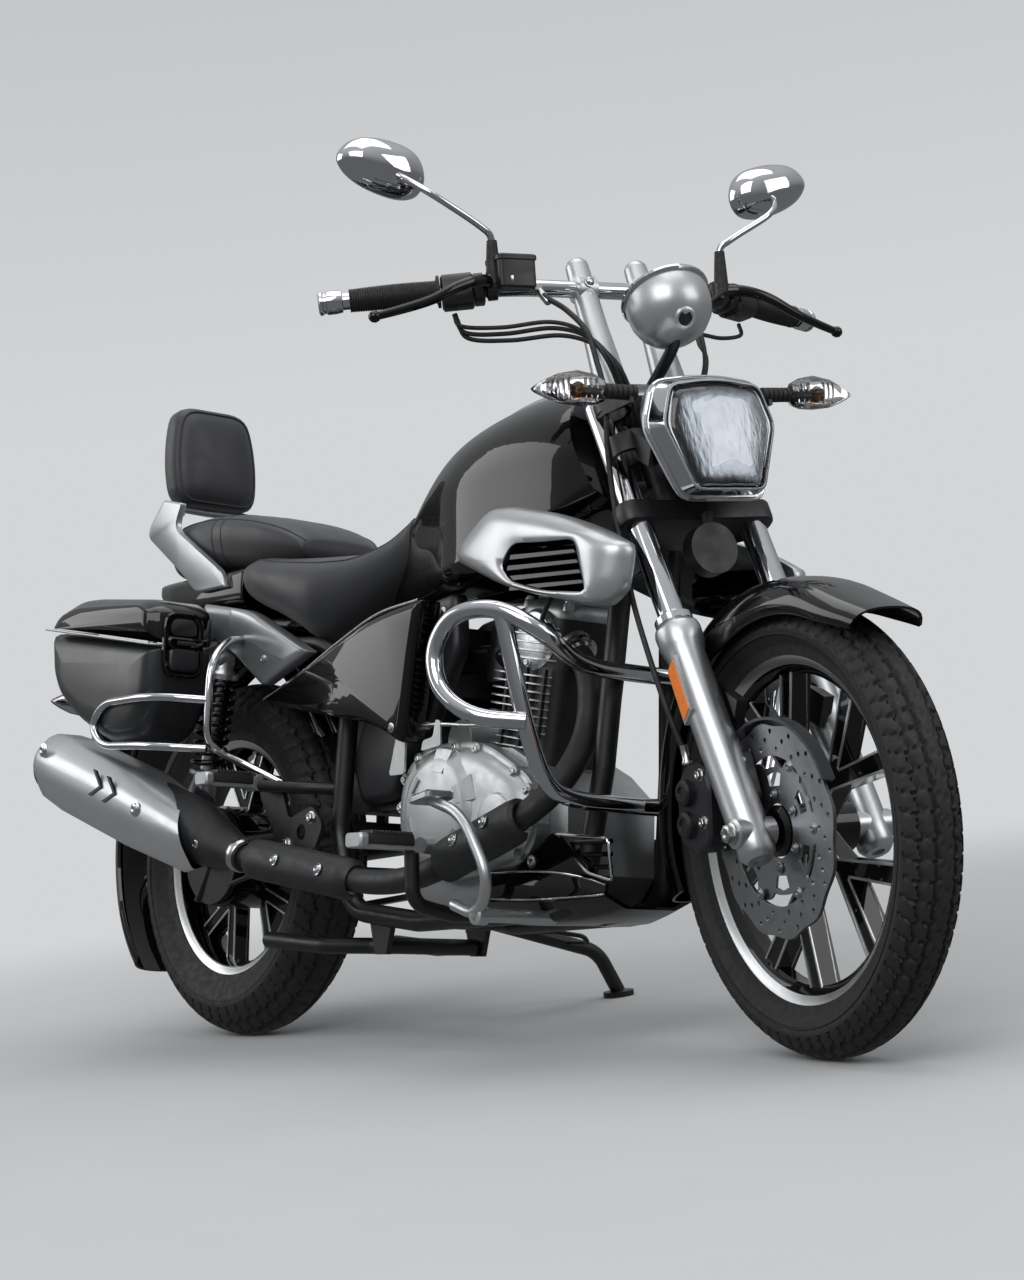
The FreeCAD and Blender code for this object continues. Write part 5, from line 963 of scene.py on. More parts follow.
def scoop(tag, hand):
    """The silver scoop under the tank: a rounded shell round a black mouth with three slats."""
    outline = rounded([(807, 721), (873, 769), (904, 783), (952, 780), (1058, 755), (1158, 719), (1214, 690),
                       (1202, 629), (1160, 608), (1094, 624), (955, 657)],
                      (3, 40, 30, 40, 40, 40, 8, 14, 16, 40, 60), 5)
    mouth = rounded([(1128, 706), (984, 718), (958, 688), (980, 664), (1052, 641), (1154, 628)],
                    (14, 16, 12, 14, 30, 10), 9)
    centre = Vector((1052, 682))

    angles = turns(96)

    def reach(loop, turn):
        """How far the loop lies from the middle in that direction."""
        ray = Vector((math.cos(turn), math.sin(turn)))
        best = 0.0
        for one, two in zip(loop, loop[1:] + loop[:1]):
            a, b = Vector(one) - centre, Vector(two) - centre
            run = b - a
            cross = ray.x * run.y - ray.y * run.x
            if abs(cross) < 1e-9:
                continue
            along = (a.x * run.y - a.y * run.x) / cross
            share = (a.x * ray.y - a.y * ray.x) / cross
            if along > 0 and -1e-6 <= share <= 1 + 1e-6:
                best = max(best, along)
        return best

    outer = [reach(outline, t) for t in angles]
    inner = [reach(mouth, t) for t in angles]

    def ring(share, deep, gap=0.0):
        return [Vector((centre.x + math.cos(t) * (i + gap + (o - i - gap) * share), hand * (150 + deep),
                        centre.y + math.sin(t) * (i + gap + (o - i - gap) * share)))
                for t, o, i in zip(angles, outer, inner)]

    form = Form()
    form.skin([ring(0.97, 0), ring(1.0, 3), ring(1.0, 12), ring(0.97, 21), ring(0.86, 32), ring(0.62, 41),
               ring(0.34, 45), ring(0.12, 45), ring(0.0, 43), ring(0.0, 40, -2), ring(0.0, 20, -4)],
              ends=False)
    form.piece(f"scoop_shell_{tag}", SILVER_PAINT, "root", ["tank_scoops"] if tag == "right" else (),
               sharp=50)
    inside = Form()
    back = [Vector((centre.x + math.cos(t), hand * 166, centre.y + math.sin(t))) for t in angles]
    inside.skin([ring(0.0, 42, -1.5), ring(0.0, 38, -3), ring(0.0, 18, -5), ring(0.0, 16, -14), back],
                ends=False)
    for row in range(4):
        z = 655 + row * 15
        inside.plaque(rounded([(966 + abs(row - 1.5) * 6, z - 4), (1146 - row * 6, z - 14),
                               (1142 - row * 6, z - 8), (968 + abs(row - 1.5) * 6, z + 4)], 2, 2), lambda a,
                      b, d: Vector((a, hand * (166 + d), b + (22 - d) * 0.5)), ((0, 0), (0, 20), (1.5, 23)))
    inside.piece(f"scoop_mouth_{tag}", BLACK_PAINT, "root")


seats()
for tag, hand in SIDES:
    pannier(tag, hand)
    side_forms(tag, hand)


# Engine


LEAN = math.radians(10)
BORE = Vector((math.sin(LEAN), 0, math.cos(LEAN)))
BORE_AHEAD = Vector((math.cos(LEAN), 0, -math.sin(LEAN)))
BARREL = Vector((850, 0, 427))


def on_bore(a, b, along):
    """A place on the barrel: a ahead of its axis, b to the left, along it."""
    return BARREL + BORE_AHEAD * a + ACROSS * b + BORE * along


def engine_tower():
    """The finned cylinder and its head, leaning ahead, with the spark plug and its lead."""
    barrel = Form()
    barrel.look = 1
    barrel.plaque(rounded(box(-66, -64, 66, 64), 20), on_bore, ((0, -8), (0, 138)))
    for row in range(10):
        size = 82 - (row < 2) * 5
        outline = rounded(box(-size - 16, 4 - size, size - 26, size - 4),
                          40, 6)
        barrel.look = 0
        along = 14 + row * 12
        barrel.plaque(outline, on_bore, ((2, along), (0, along + 0.7), (0, along + 2.6), (2, along + 3.2)))
        barrel.look = 1
        for a in (-44, 0, 44):
            for hand in HANDS:
                barrel.plaque(box(a - 3, hand * 73 - 3, a + 3, hand * 73 + 3),
                              on_bore, ((0, along + 2), (0, along + 13)))
    barrel.piece("finned_barrel", [FIN_EDGE, HEAT], "root", ["cylinder"], sharp=40)
    head = Form()
    head.look = 1
    head.plaque(rounded(box(-66, -62, 66, 62), 20), on_bore, ((0, 138), (0, 212)))
    for row in range(5):
        along = 147 + row * 12
        head.look = 0
        head.plaque(rounded(box(-92, -76, 56, 76), 34), on_bore,
                    ((2, along), (0, along + 0.7), (0, along + 2.6), (2, along + 3.2)))
    head.look = 2
    head.plaque(rounded(box(-60, -57, 60, 57), 26), on_bore,
                ((2, 203), (0, 206), (0, 222), (4, 230), (14, 238), (26, 243), (40, 245)))
    head.plaque(rounded(box(-52, -34, 52, 34), 12), on_bore, ((0, 236), (0, 246), (3, 250), (12, 252)))
    for a, b in ((-48, -46), (48, -46), (-48, 46), (48, 46)):
        head.turn([(0, 10), (10, 9), (13, 6), (13, 0.1)], on_bore(a, b, 224), BORE, 24)
        head.bolt(on_bore(a, b, 237), BORE, 5, 5)
    head.look = 0
    head.turn([(-14, 46), (2, 46), (5, 42), (9, 40), (11, 34), (11, 0.1)], on_bore(0, -62, 178), -ACROSS, 40)
    for k in range(3):
        t = math.tau * k / 3 + 0.5
        head.bolt(on_bore(36 * math.cos(t), -73, 178 + 36 * math.sin(t)), -ACROSS, 4.5, 5)
    head.turn([(0, 32), (14, 30), (18, 26), (30, 25)], (918, -35, 596), (0.9, 0, -0.35), 30)
    head.look = 3
    head.turn([(0, 9), (8, 9), (10, 7.5), (22, 7.5), (22, 11), (50, 10), (56, 6)], on_bore(52, -66, 168),
              (0.55, -0.8, 0.5), 20)
    head.piece("finned_head", [FIN_EDGE, HEAT, CAST, RUBBER], "root", ["cylinder_head"], sharp=40)
    lead = Form()
    tip = on_bore(52, -66, 168) + Vector((0.55, -0.8, 0.5)).normalized() * 54
    lead.bar([tip, tip + Vector((12, -16, 12)), tip + Vector((26, 2, 60)), Vector((930, -40, 700)),
              Vector((880, -20, 730))], 3.6, steps=10)
    lead.piece("plug_lead", RUBBER)


def clutch_cover():
    """Both side covers of the engine with their bolts."""
    cover, half = Form(), 83
    edge = rounded([(600, 322), (602, 388), (620, 428), (671, 453), (774, 455), (829, 442), (923, 393),
                    (945, 356), (940, 296), (896, 258), (700, 244), (632, 268)], 26)
    cover.plaque(edge, beside(-1, half), ((0, 0), (0, 22), (3, 25), (9, 26), (12, 30), (20, 38), (34, 43),
                                          (60, 45)))
    cover.turn([(0, 98), (8, 96), (14, 88), (22, 78), (25, 70), (25, 0.1)], (728, -112, 350), -ACROSS, 72)
    for k in range(6):
        t = math.tau * k / 6 + 0.35
        run = Vector((math.cos(t), 0, math.sin(t)))
        wide = Vector((-math.sin(t), 0, math.cos(t)))
        base = Vector((728, -112, 350))
        cover.skin([[base + run * reach + wide * side - ACROSS * deep for reach, side, deep in corners]
                    for corners in (((58, 13, 24), (58, -13, 24), (58, -13, 27.5), (58, 13, 27.5)),
                                    ((92, 20, 2), (92, -20, 2), (94, -20, 17), (94, 20, 17)))])
    cover.turn([(0, 50), (8, 48), (14, 42), (18, 40), (20, 34), (20, 0.1)], (872, -114, 328), -ACROSS, 48)
    cover.turn([(0, 14), (9, 14), (11, 10), (11, 7), (7, 6)], (872, -133, 328), -ACROSS, 6)
    for index in range(0, len(edge), 5):
        a, b = shrunk(edge, 9)[index]
        cover.turn([(0, 10), (26, 10), (30, 9)], (a, -half, b), -ACROSS, 20)
        cover.look = 1
        cover.bolt((a, -113, b), -ACROSS, 5, 5, washer=False)
        cover.look = 0
    cover.look = 0
    cover.sheet_of([rounded([(600, 410), (640, 410), (642, 470), (654, 498), (640, 500), (618, 470)], 6)],
                   flat(y=-130), 0, 4)
    cover.sheet_of([rounded([(690, 442), (740, 448), (738, 486), (726, 488), (720, 462), (694, 458)], 5)],
                   flat(y=-134), 0, 3)
    cover.look = 1
    cover.bar([(636, -124, 482), (690, -128, 482), (742, -130, 480), (800, -126, 474), (890, -112, 470)], 3.4,
              steps=10)
    cover.turn([(0, 6.5), (46, 6.5), (50, 5)], (650, -124, 482), (1, 0, 0), 12)
    magneto = rounded([(560, 262), (560, 350), (640, 402), (790, 424), (880, 400), (946, 350), (946, 262),
                       (880, 226), (640, 226)], 30)
    cover.look = 0
    cover.plaque(magneto, beside(1, half), ((0, 0), (0, 18), (4, 23), (14, 27), (40, 30)))
    cover.turn([(0, 88), (16, 86), (24, 80), (30, 70), (31, 40), (28, 36), (28, 0.1)], (850, 104, 322),
               ACROSS, 72)
    for index in range(0, len(magneto), 6):
        a, b = shrunk(magneto, 10)[index]
        cover.look = 1
        cover.bolt((a, 104, b), ACROSS, 5, 7)
    cover.piece("engine_side_covers", [CAST, ZINC], "root", ["engine_covers"], sharp=36)


def exhaust():
    """The header pipe, the muffler and their covers."""
    pipe = Form()
    points = [(942, -36, 582), (985, -42, 540), (1004, -60, 450), (1012, -120, 372), (985, -168, 325),
              (880, -182, 282), (760, -182, 246), (640, -182, 240), (330, -222, 290)]
    pipe.tube(points, 19, 60, 24)
    pipe.look = 1
    pipe.turn([(-4, 19), (-3, 30), (5, 30), (7, 24), (12, 22)], (944, -36, 579), (0.74, -0.08, -0.67), 30)
    pipe.piece("header_pipe", [HEAT, ZINC], "root", ["exhaust_pipe"], sharp=40)
    start, end = Vector((330, -222, 290)), Vector((-225, -268, 470))
    along = (end - start).normalized()
    rise = (UP - along * along.z).normalized()
    side = rise.cross(along)
    run = (end - start).length
    if side.y > 0:
        side = -side
    shield = Form()
    rows = ((0.245, 1.04, 44, -50), (0.30, 1.07, 52, -62), (0.5, 1.12, 62, -68), (0.86, 1.12, 62, -66),
            (0.965, 1.08, 58, -60), (0.99, 1.0, 52, -54), (0.995, 0.9, 46, -46))
    rings = []
    for share, wide, high, low in rows:
        reach = 57 * wide
        corners = [(-reach * 0.5, high), (reach * 0.55, high), (reach, high * 0.35),
                   (reach * 0.98, low * 0.2), (reach * 0.5, low), (-reach * 0.45, low),
                   (-reach * 0.95, low * 0.3), (-reach * 0.95, high * 0.4)]
        ring = []
        for a, b in rounded(corners, 12, 3):
            lean = (0.07 * a / reach - 0.075 * (b / 60)) if share < 0.35 else 0.0
            ring.append(start + along * run * (share - lean) + side * a + rise * b)
        rings.append(ring)
    shield.skin(rings, ends=False)
    shield.skin([[p + (start + along * run * 0.99 - p) * 0.05 for p in rings[-1]],
                 [p + (start + along * run * 0.985 - p) * 0.3 for p in rings[-1]]], ends=False)
    shield.piece("muffler_cover", SILVER_PAINT, "root", ["heat_shields"], sharp=40)
    detail = Form()
    for share, rise_at in ((0.40, 10), (0.93, 30)):
        at = start + along * run * share + side * 63 + rise * rise_at
        detail.dome_bolt(at, side, 10, 5)
    detail.dome_bolt(start + along * run * 0.14 + side * 37 - rise * 4, side, 9, 5)
    for share in (0.2, 0.62):
        at = Vector((985, -170, 324)).lerp(Vector((832, -183, 268)), share + 0.05)
        detail.dome_bolt(at + Vector((-0.2, -1, 0.35)).normalized() * 32, (-0.2, -1, 0.35), 8, 5)
        at = Vector((600, -187, 246)).lerp(Vector((352, -219, 287)), share)
        detail.dome_bolt(at + Vector((-0.1, -1, 0.3)).normalized() * 31, (-0.1, -1, 0.3), 8, 5)
    detail.look = 1
    for step in range(2):
        middle = start + along * run * (0.56 + step * 0.075) + side * 63.8 + rise * 18
        for hand in HANDS:
            detail.skin([[at + side * k - along * w for k, w in ((-3, 0), (1.5, 0), (1.5, 9), (-3, 9))]
                         for at in (middle - along * 22, middle + along * 6 + rise * 22 * hand)])
    detail.piece("shield_bolts", [CHROME, PLASTIC], "root")
    can = Form()
    can.turn([(-6, 24), (10, 26), (40, 33), (run * 0.25, 55), (run * 0.3, 56), (run * 0.99, 55),
              (run * 0.998, 50), (run, 44), (run * 0.99, 40), (run * 0.99, 24), (run, 20), (run * 0.98, 17),
              (run * 0.8, 16)], start, along, 48)
    can.look = 1
    can.turn([(0, 26), (3, 28), (14, 28), (17, 26)], start - along * 2, along, 32)
    can.piece("muffler_can", [HEAT, ZINC], "root", ["muffler"], sharp=40)
    shields = Form()
    for one, two, wide in (((992, -168, 326), (826, -186, 266), 31),
                           ((600, -187, 246), (352, -219, 287), 30)):
        one, two = Vector(one), Vector(two)
        run_on = (two - one).normalized()
        outward = Vector((-0.1, -1, 0.35))
        outward = (outward - run_on * outward.dot(run_on)).normalized()
        over = run_on.cross(outward)
        rings = []
        for share, scale in ((0, 0.75), (0.03, 0.95), (0.1, 1), (0.9, 1), (0.97, 0.95), (1, 0.75)):
            at = one.lerp(two, share)
            rings.append([at + outward * far * scale * math.cos(t * way)
                          + over * far * 1.1 * scale * math.sin(t * way) for far,
                          way in ((wide, 1), (wide - 3, -1))
                          for t in (math.radians(-115 + 230 * k / 20) for k in range(21))])
        shields.skin(rings)
    shields.piece("pipe_shields", HEAT, "root", sharp=40)


def shocks():
    """Both shock absorbers, each with its spring."""
    for tag, hand in SIDES:
        low, high = Vector((60, hand * 150, 337)), Vector((130, hand * 150, 632))
        run = high - low
        along = run.normalized()
        side = along.orthogonal().normalized()
        other = along.cross(side)
        body = Form()
        body.turn([(-6, 14), (6, 19), (20, 21), (run.length * 0.34, 21), (run.length * 0.35, 29),
                   (run.length * 0.37, 29), (run.length * 0.38, 12), (run.length * 0.9, 12),
                   (run.length * 0.9, 28), (run.length * 0.93, 28), (run.length * 0.95, 20),
                   (run.length, 16)], low, along, 32)
        for end in (low, high):
            body.turn([(-14, 8), (-14, 16), (14, 16), (14, 8)], end, ACROSS, 24)
            body.dome_bolt(end + ACROSS * hand * 14, ACROSS * hand, 10, 7)
        body.piece(f"damper_{tag}", POLISHED, "root", ["shocks"] if tag == "right" else (), sharp=40)
        spring = Form()
        line = []
        for step in range(145):
            t = math.tau * step / 16
            line.append(low + along * run.length * (0.38 + 0.5 * step / 144)
                        + (side * math.cos(t) + other * math.sin(t)) * 26)
        spring.bar(line, 5, smooth=False, steps=8)
        spring.piece(f"spring_{tag}", BLACK_PAINT, "root", sharp=60)


def guards_and_rails():
    """The tubes round the engine and round the cases."""
    guard = Form()
    for hand in HANDS:
        guard.tube([(1064, 0, 537), (1092, hand * 150, 534), (1116, hand * 235, 572), (1060, hand * 270, 610),
                    (985, hand * 294, 608), (950, hand * 303, 560), (962, hand * 302, 500),
                    (1030, hand * 292, 456), (1084, hand * 238, 451)], 12.7, 60, 20)
        guard.tube([(1060, hand * 266, 606), (1076, hand * 235, 450), (1084, hand * 206, 366),
                    (1074, hand * 150, 348), (1046, 0, 348)], 12.7, 50, 20)
    guard.piece("crash_bars", CHROME, "root", ["engine_guards"], sharp=50)
    rail = Form()
    out = 317.3
    for hand in HANDS:
        rail.tube([(184, hand * 140, 664), (226, hand * 200, 652), (254, hand * 248, 612),
                   (256, hand * 252, 540), (252, hand * 250, 470), (272, hand * 190, 444),
                   (344, hand * 146, 404)], 7, 34, 16)
        rail.tube([(254, hand * 252, 546), (200, hand * 300, 552), (150, hand * out, 554),
                   (20, hand * out, 554), (-18, hand * out, 518), (20, hand * out, 482),
                   (150, hand * out, 474), (200, hand * 302, 470), (252, hand * 251, 466)], 7, 34, 16)
        rail.sheet_of([rounded([(-140, 652), (110, 630), (110, 596), (-140, 618)], 8)], flat(y=hand * 180), 0,
                      hand * 9)
        for x, high, low in ((20, 712, 630), (-110, 748, 636)):
            rail.bar([(x, hand * 118, high), (x, hand * 182, low)], 8, smooth=False)
    rail.piece("case_rails", CHROME, "root", ["pannier_racks"], sharp=50)


engine_tower()
clutch_cover()
exhaust()
shocks()
guards_and_rails()


# Handlebar, fork, fender, brake


# How far ahead of the steering axis the fork's legs stand, at the axle and at their top.
LEG_FOOT, LEG_TOP = 58, 24


def bar_place(hand, distance):
    """A place along the grip, measured out from its inner end."""
    inner, tip = Vector((933, 261, 1125)), Vector((872, 393, 1119.5))
    run = (tip - inner).normalized()
    point = inner + run * distance
    return Vector((point.x, hand * point.y, point.z)), Vector((run.x, hand * run.y, run.z))


def handlebar():
    """The bar, its grips, and the risers with both yokes."""
    bar = Form()
    right = [(985, 66, 1123), (966, 150, 1128), (933, 261, 1125), (872, 393, 1119.5)]
    points = [(x, -y, z) for x, y, z in reversed(right)] + [(985, 0, 1123)] + right
    bar.tube(points, 12.7, 50, 24)
    for hand in HANDS:
        at, run = bar_place(hand, 145)
        bar.turn([(-1, 12), (0, 16), (10, 17.5), (22, 17.5), (24, 15.5), (27, 15.5), (29, 17.5), (33, 17.5),
                  (35, 14), (35, 9), (32, 8)], at, run, 40)
    bar.piece("chrome_handlebar", CHROME, "steering", ["handlebar"], sharp=40)
    grip = Form()
    for hand in HANDS:
        at, run = bar_place(hand, 0)
        profile = [(0, 13), (0.5, 24), (5, 24), (6, 17.5)]
        for row in range(34):
            along = 9 + row * 3.6
            swell = 17.2 + 1.3 * math.sin(math.pi * row / 33)
            profile += [(along, swell - 1.0), (along + 0.7, swell), (along + 2.2, swell),
                        (along + 2.9, swell - 1.0)]
        profile += [(133, 17.6), (134, 16), (134, 12.8)]
        grip.turn(profile, at, run, 36)
    grip.piece("ribbed_grips", RUBBER, "steering", ["grips"], sharp=50)
    yoke = Form()
    foot, top = on_fork(LEG_HIGH, 0, 16), Vector((969, 0, 1160))
    for hand in HANDS:
        out = ACROSS * 50 * hand
        yoke.bar([foot + out, foot.lerp(top, 0.5) + out, top + out], [26, 20, 17.5], per=6, steps=28)
        yoke.turn([(0, 17.5), (4, 17), (9, 14), (12, 8), (13, 0.1)], top + out, top - foot, 28)
        yoke.turn([(-16, 16), (-15, 21), (15, 21), (16, 16)], Vector((985, 0, 1123)) + out, ACROSS, 30)
        yoke.look = 1
        yoke.dome_bolt(Vector((1006, 0, 1123)) + out + UP * 8, (1, 0, 0.2), 7, 5)
        yoke.dome_bolt(Vector((1004, 0, 1108)) + out, (1, 0, -0.1), 7, 5)
        yoke.look = 0
    for along, thick, look in zip(YOKES, (24, 34), (0, 2)):
        yoke.look = look
        shift = LEG_TOP + (LEG_FOOT - LEG_TOP) * (1 - along / LEG_HIGH)
        outline = rounded([(-50, -32), (50, -32), (124, shift - 30), (124, shift + 26), (50, shift + 22),
                           (-50, shift + 22), (-124, shift + 26), (-124, shift - 30)],
                          (16, 16, 26, 26, 30, 30, 26, 26))
        half = thick / 2
        yoke.plaque(outline, lambda a, b, d, along=along: on_fork(along + d, a, b + 2),
                    ((6, -half), (1, 2 - half), (0, 6 - half), (0, half - 6), (1, half - 2), (6, half)))
    yoke.look = 1
    yoke.turn([(0, 20), (8, 20), (12, 16), (12, 8), (9, 7)], on_fork(LEG_HIGH), FORK, 6)
    for hand in HANDS:
        yoke.turn([(0, 22), (6, 22), (9, 17), (9, 8), (6, 7)], on_fork(LEG_HIGH, hand * LEG_OUT, LEG_TOP),
                  FORK, 32)
        for along in YOKES:
            yoke.dome_bolt(on_fork(along, hand * 104, LEG_TOP + 26), AHEAD, 7, 6)
    yoke.piece("yokes_and_risers", [SILVER_PAINT, ZINC, POWDER], "steering", ["fork_yokes"], sharp=42)


def controls():
    """Switch gear on both sides, the brake's fluid box on the right, and both levers."""
    for tag, hand in SIDES:
        form = Form()
        at, run = bar_place(hand, -23)
        up = run.cross(Vector((0.9, 0, 0.2))).normalized()
        up = up if up.z > 0 else -up
        ahead = up.cross(run).normalized()
        ahead = ahead if ahead.x > 0 else -ahead

        def case(a, b, d, at=at, run=run, up=up, ahead=ahead):
            return at + run * d + ahead * a + up * b

        form.plaque(rounded([(-24, -26), (18, -30), (26, -6), (22, 20), (-18, 24), (-26, 6)], 14), case,
                    ((4, -26), (0, -23), (0, 19), (4, 22)))
        form.plaque(rounded([(-24, -22), (16, -24), (24, -4), (20, 18), (-16, 20), (-24, 4)], 12), case,
                    ((4, -42), (0, -40), (0, -27), (3, -26)))
        form.turn([(-62, 15), (-60, 21), (-46, 21), (-44, 15)], at, run, 28)
        pivot, clamp = Vector((972, hand * 190, 1131)), bar_place(hand, -76)[0]
        form.bar([clamp, clamp.lerp(pivot, 0.5) + UP * 3, pivot], [15, 12, 12], steps=20)
        form.turn([(-13, 8), (-12, 13), (12, 13), (13, 8)], pivot, UP, 28)
        form.turn([(0, 10), (12, 10), (13, 8)], Vector((977, hand * 194, 1128)), UP, 20)
        form.look = 1
        for spot_up, spot_ahead, size in ((10, -22, 6), (-8, -25, 5)):
            form.turn([(0, size), (5, size), (6.5, size - 1.5), (6.5, 0.1)],
                      at + up * spot_up + ahead * spot_ahead, -ahead, 20)
        form.look = 2
        form.dome_bolt(pivot + UP * 12, UP, 6, 4)
        form.dome_bolt(clamp + ahead * 20 + up * 6, ahead, 5, 4)
        if hand < 0:
            form.look = 0
            tank_at = clamp + Vector((12, 28, 16))
            form.plaque(rounded(box(-30, -24, 30, 24), 7),
                        lambda a, b, d, tank_at=tank_at: tank_at + Vector((b, a, d)),
                        ((3, -24), (0, -21), (0, 17), (-2, 18), (-2, 24), (0, 26)))
            form.look = 2
            for a in (-20, 20):
                form.dome_bolt(tank_at + Vector((0, a, 26)), UP, 4, 2)
            form.turn([(0, 10), (5, 10), (5, 7), (14, 7), (15, 5)], pivot + Vector((14, 14, 2)), (1, 0.3, 0),
                      6)
        form.piece(f"switch_gear_{tag}", [PLASTIC, RED if hand < 0 else POLISHED, ZINC], "steering",
                   ["bar_controls"] if hand < 0 else (), sharp=36)
    lever = Form()
    for hand in HANDS:
        points = [(977, hand * 196, 1131), (994, hand * 224, 1129), (1003, hand * 262, 1117),
                  (1001, hand * 310, 1095), (993, hand * 356, 1081), (986, hand * 392, 1072)]
        line = curve(points, 8)
        rings = []
        for index, point in enumerate(line):
            ahead = (line[min(index + 1, len(line) - 1)] - line[max(index - 1, 0)]).normalized()
            flat_side = ahead.cross(UP).normalized()
            tall = ahead.cross(flat_side)
            share = index / (len(line) - 1)
            wide, thick = 9.5 - 3.5 * share, 5.5
            rings.append([point + flat_side * thick * math.cos(t) + tall * wide * math.sin(t)
                          for t in turns(16)])
        lever.skin(rings)
        tip = Vector(points[-1])
        lever.turn([(-9, 0.1), (-8, 4.5), (-5, 7.6), (0, 9), (5, 7.6), (8, 4.5), (9, 0.1)], tip,
                   (0, hand, -0.2), 24)
    lever.piece("brake_and_clutch_levers", BLACK_PAINT, "steering", ["hand_levers"], sharp=50)


def fork():
    """The fork's tubes and legs with the axle's ends, and the orange reflectors beside them."""
    tubes, legs, lamps = Form(), Form(), Form()
    for hand in HANDS:
        def at(along, ahead=0.0, hand=hand):
            return on_fork(along, hand * LEG_OUT, LEG_FOOT + (LEG_TOP - LEG_FOOT) * along / LEG_HIGH + ahead)

        upwards = (at(LEG_HIGH) - at(0)).normalized()
        tubes.turn([(250, 19), (738, 19), (740, 17)], at(0), upwards, 32)
        tubes.turn([(327, 24), (330, 27), (340, 27), (344, 22)], at(0), upwards, 32)
        legs.turn([(-36, 6), (-36, 9), (-40, 9), (-40, 17), (-36, 21), (-30, 25), (-6, 26), (20, 27),
                   (280, 27), (290, 30), (300, 32), (318, 32.5), (324, 31), (328, 27), (331, 20)], at(0),
                  upwards, 48)
        legs.turn([(-30, 16), (-28, 20), (28, 20), (30, 16)], FRONT_AXLE + ACROSS * hand * LEG_OUT, ACROSS,
                  40)
        legs.look = 1
        legs.turn([(0, 15), (5, 15), (6, 12)], FRONT_AXLE + ACROSS * hand * 120, ACROSS * hand, 30)
        legs.bolt(FRONT_AXLE + ACROSS * hand * 125, ACROSS * hand, 11, 9, washer=False)
        legs.turn([(0, 11), (22, 11)], FRONT_AXLE + ACROSS * hand * 46, ACROSS * hand, 24)
        legs.look = 0
        outline = [(178, -15), (188, 12), (272, 16), (262, -11)]
        lamps.look = 1
        lamps.skin([[at(a, b) + ACROSS * hand * deep for a, b in outline] for deep in (24, 30.5)])
        lamps.look = 0
        inner = [(183.5, -11.5), (191.5, 9), (266.5, 12), (259, -8)]
        lamps.skin([[at(a, b) + ACROSS * hand * deep for a, b in inner] for deep in (30, 32)])
    tubes.piece("fork_stanchions", CHROME, "steering", ["fork_tubes"], sharp=40)
    legs.piece("fork_legs", [POLISHED, ZINC], "steering", ["fork_sliders"], sharp=40)
    lamps.piece("fork_reflectors", [REFLECTOR, SILVER_PAINT], "steering", sharp=30)


def arch(name, body, centre, inner, half, start, end, look, skirt, crown, replaces, flare=0.0, thick=3.5,
         rise=0.01):
    """A mudguard swept over its wheel from start to end, in degrees from straight ahead."""
    form = Form()
    rings = []
    steps = 48
    for step in range(steps + 1):
        share = step / steps
        angle = math.radians(start + (end - start) * share)
        lift = flare * max(0.0, 1 - share / 0.12) ** 2
        narrow = 1 - 0.12 * max(0.0, 1 - share / 0.1) ** 2 - 0.1 * max(0.0, (share - 0.9) / 0.1) ** 2
        outer, under = [], []
        for k in range(17):
            t = -1 + 2 * k / 16
            deep = skirt * (0.3 + 0.7 * min(share / rise, 1.0))
            drop = deep * abs(t) ** 5 + crown * (1 - math.cos(t * 1.1)) / (1 - math.cos(1.1))
            across = half * narrow * math.sin(t * 1.35) / math.sin(1.35)
            high = inner + thick + crown - drop + lift
            outer.append((across, high))
            under.append((across * (1 - thick / half), high - thick))
        ring = [Vector(centre) + Vector((math.cos(angle) * r, y, math.sin(angle) * r)) for y,
                r in outer + under[::-1]]
        rings.append(ring)
    form.skin(rings)
    return form.piece(name, look, body, replaces, sharp=60)


def brake():
    """The caliper on the right leg, and the grey guard over the disc's edge."""
    form = Form()
    outline = rounded([(1232, 296), (1234, 372), (1262, 402), (1300, 402), (1322, 372), (1316, 292),
                       (1274, 276)], 14)
    form.plaque(outline, flat(y=-80), ((4, -18), (0, -14), (0, 12), (4, 16)))
    for x, z in ((1262, 318), (1264, 362)):
        form.turn([(0, 19), (8, 18), (11, 14), (11, 9), (8, 8)], (x, -98, z), -ACROSS, 30)
    form.plaque(rounded([(1290, 306), (1290, 396), (1372, 416), (1396, 345), (1350, 308)], 14), flat(y=-75),
                ((0, 0), (0, 14), (1, 16)))
    form.look = 1
    for x, z in ((1304, 320), (1302, 384), (1376, 396), (1384, 352)):
        form.bolt((x, -98 if x < 1310 else -76, z), -ACROSS, 6, 7)
    form.look = 2
    for low, high in ((-66, -50), (-50, -47)):
        rings = []
        for step in range(25):
            t = math.radians(24 + 94 * step / 24)
            narrow = min(1.0, 0.25 + step / 4, 0.25 + (24 - step) / 4)
            inner, outer = (146, 150) if low == -66 else (150 - 34 * narrow, 150)
            rings.append([FRONT_AXLE + Vector((math.cos(t) * r, y, math.sin(t) * r))
                          for r, y in ((inner, low), (outer, low), (outer, high), (inner, high))])
        form.skin(rings)
    form.piece("brake_caliper", [PLASTIC, ZINC, GUARD_GREY], "steering", ["front_caliper"], sharp=36)


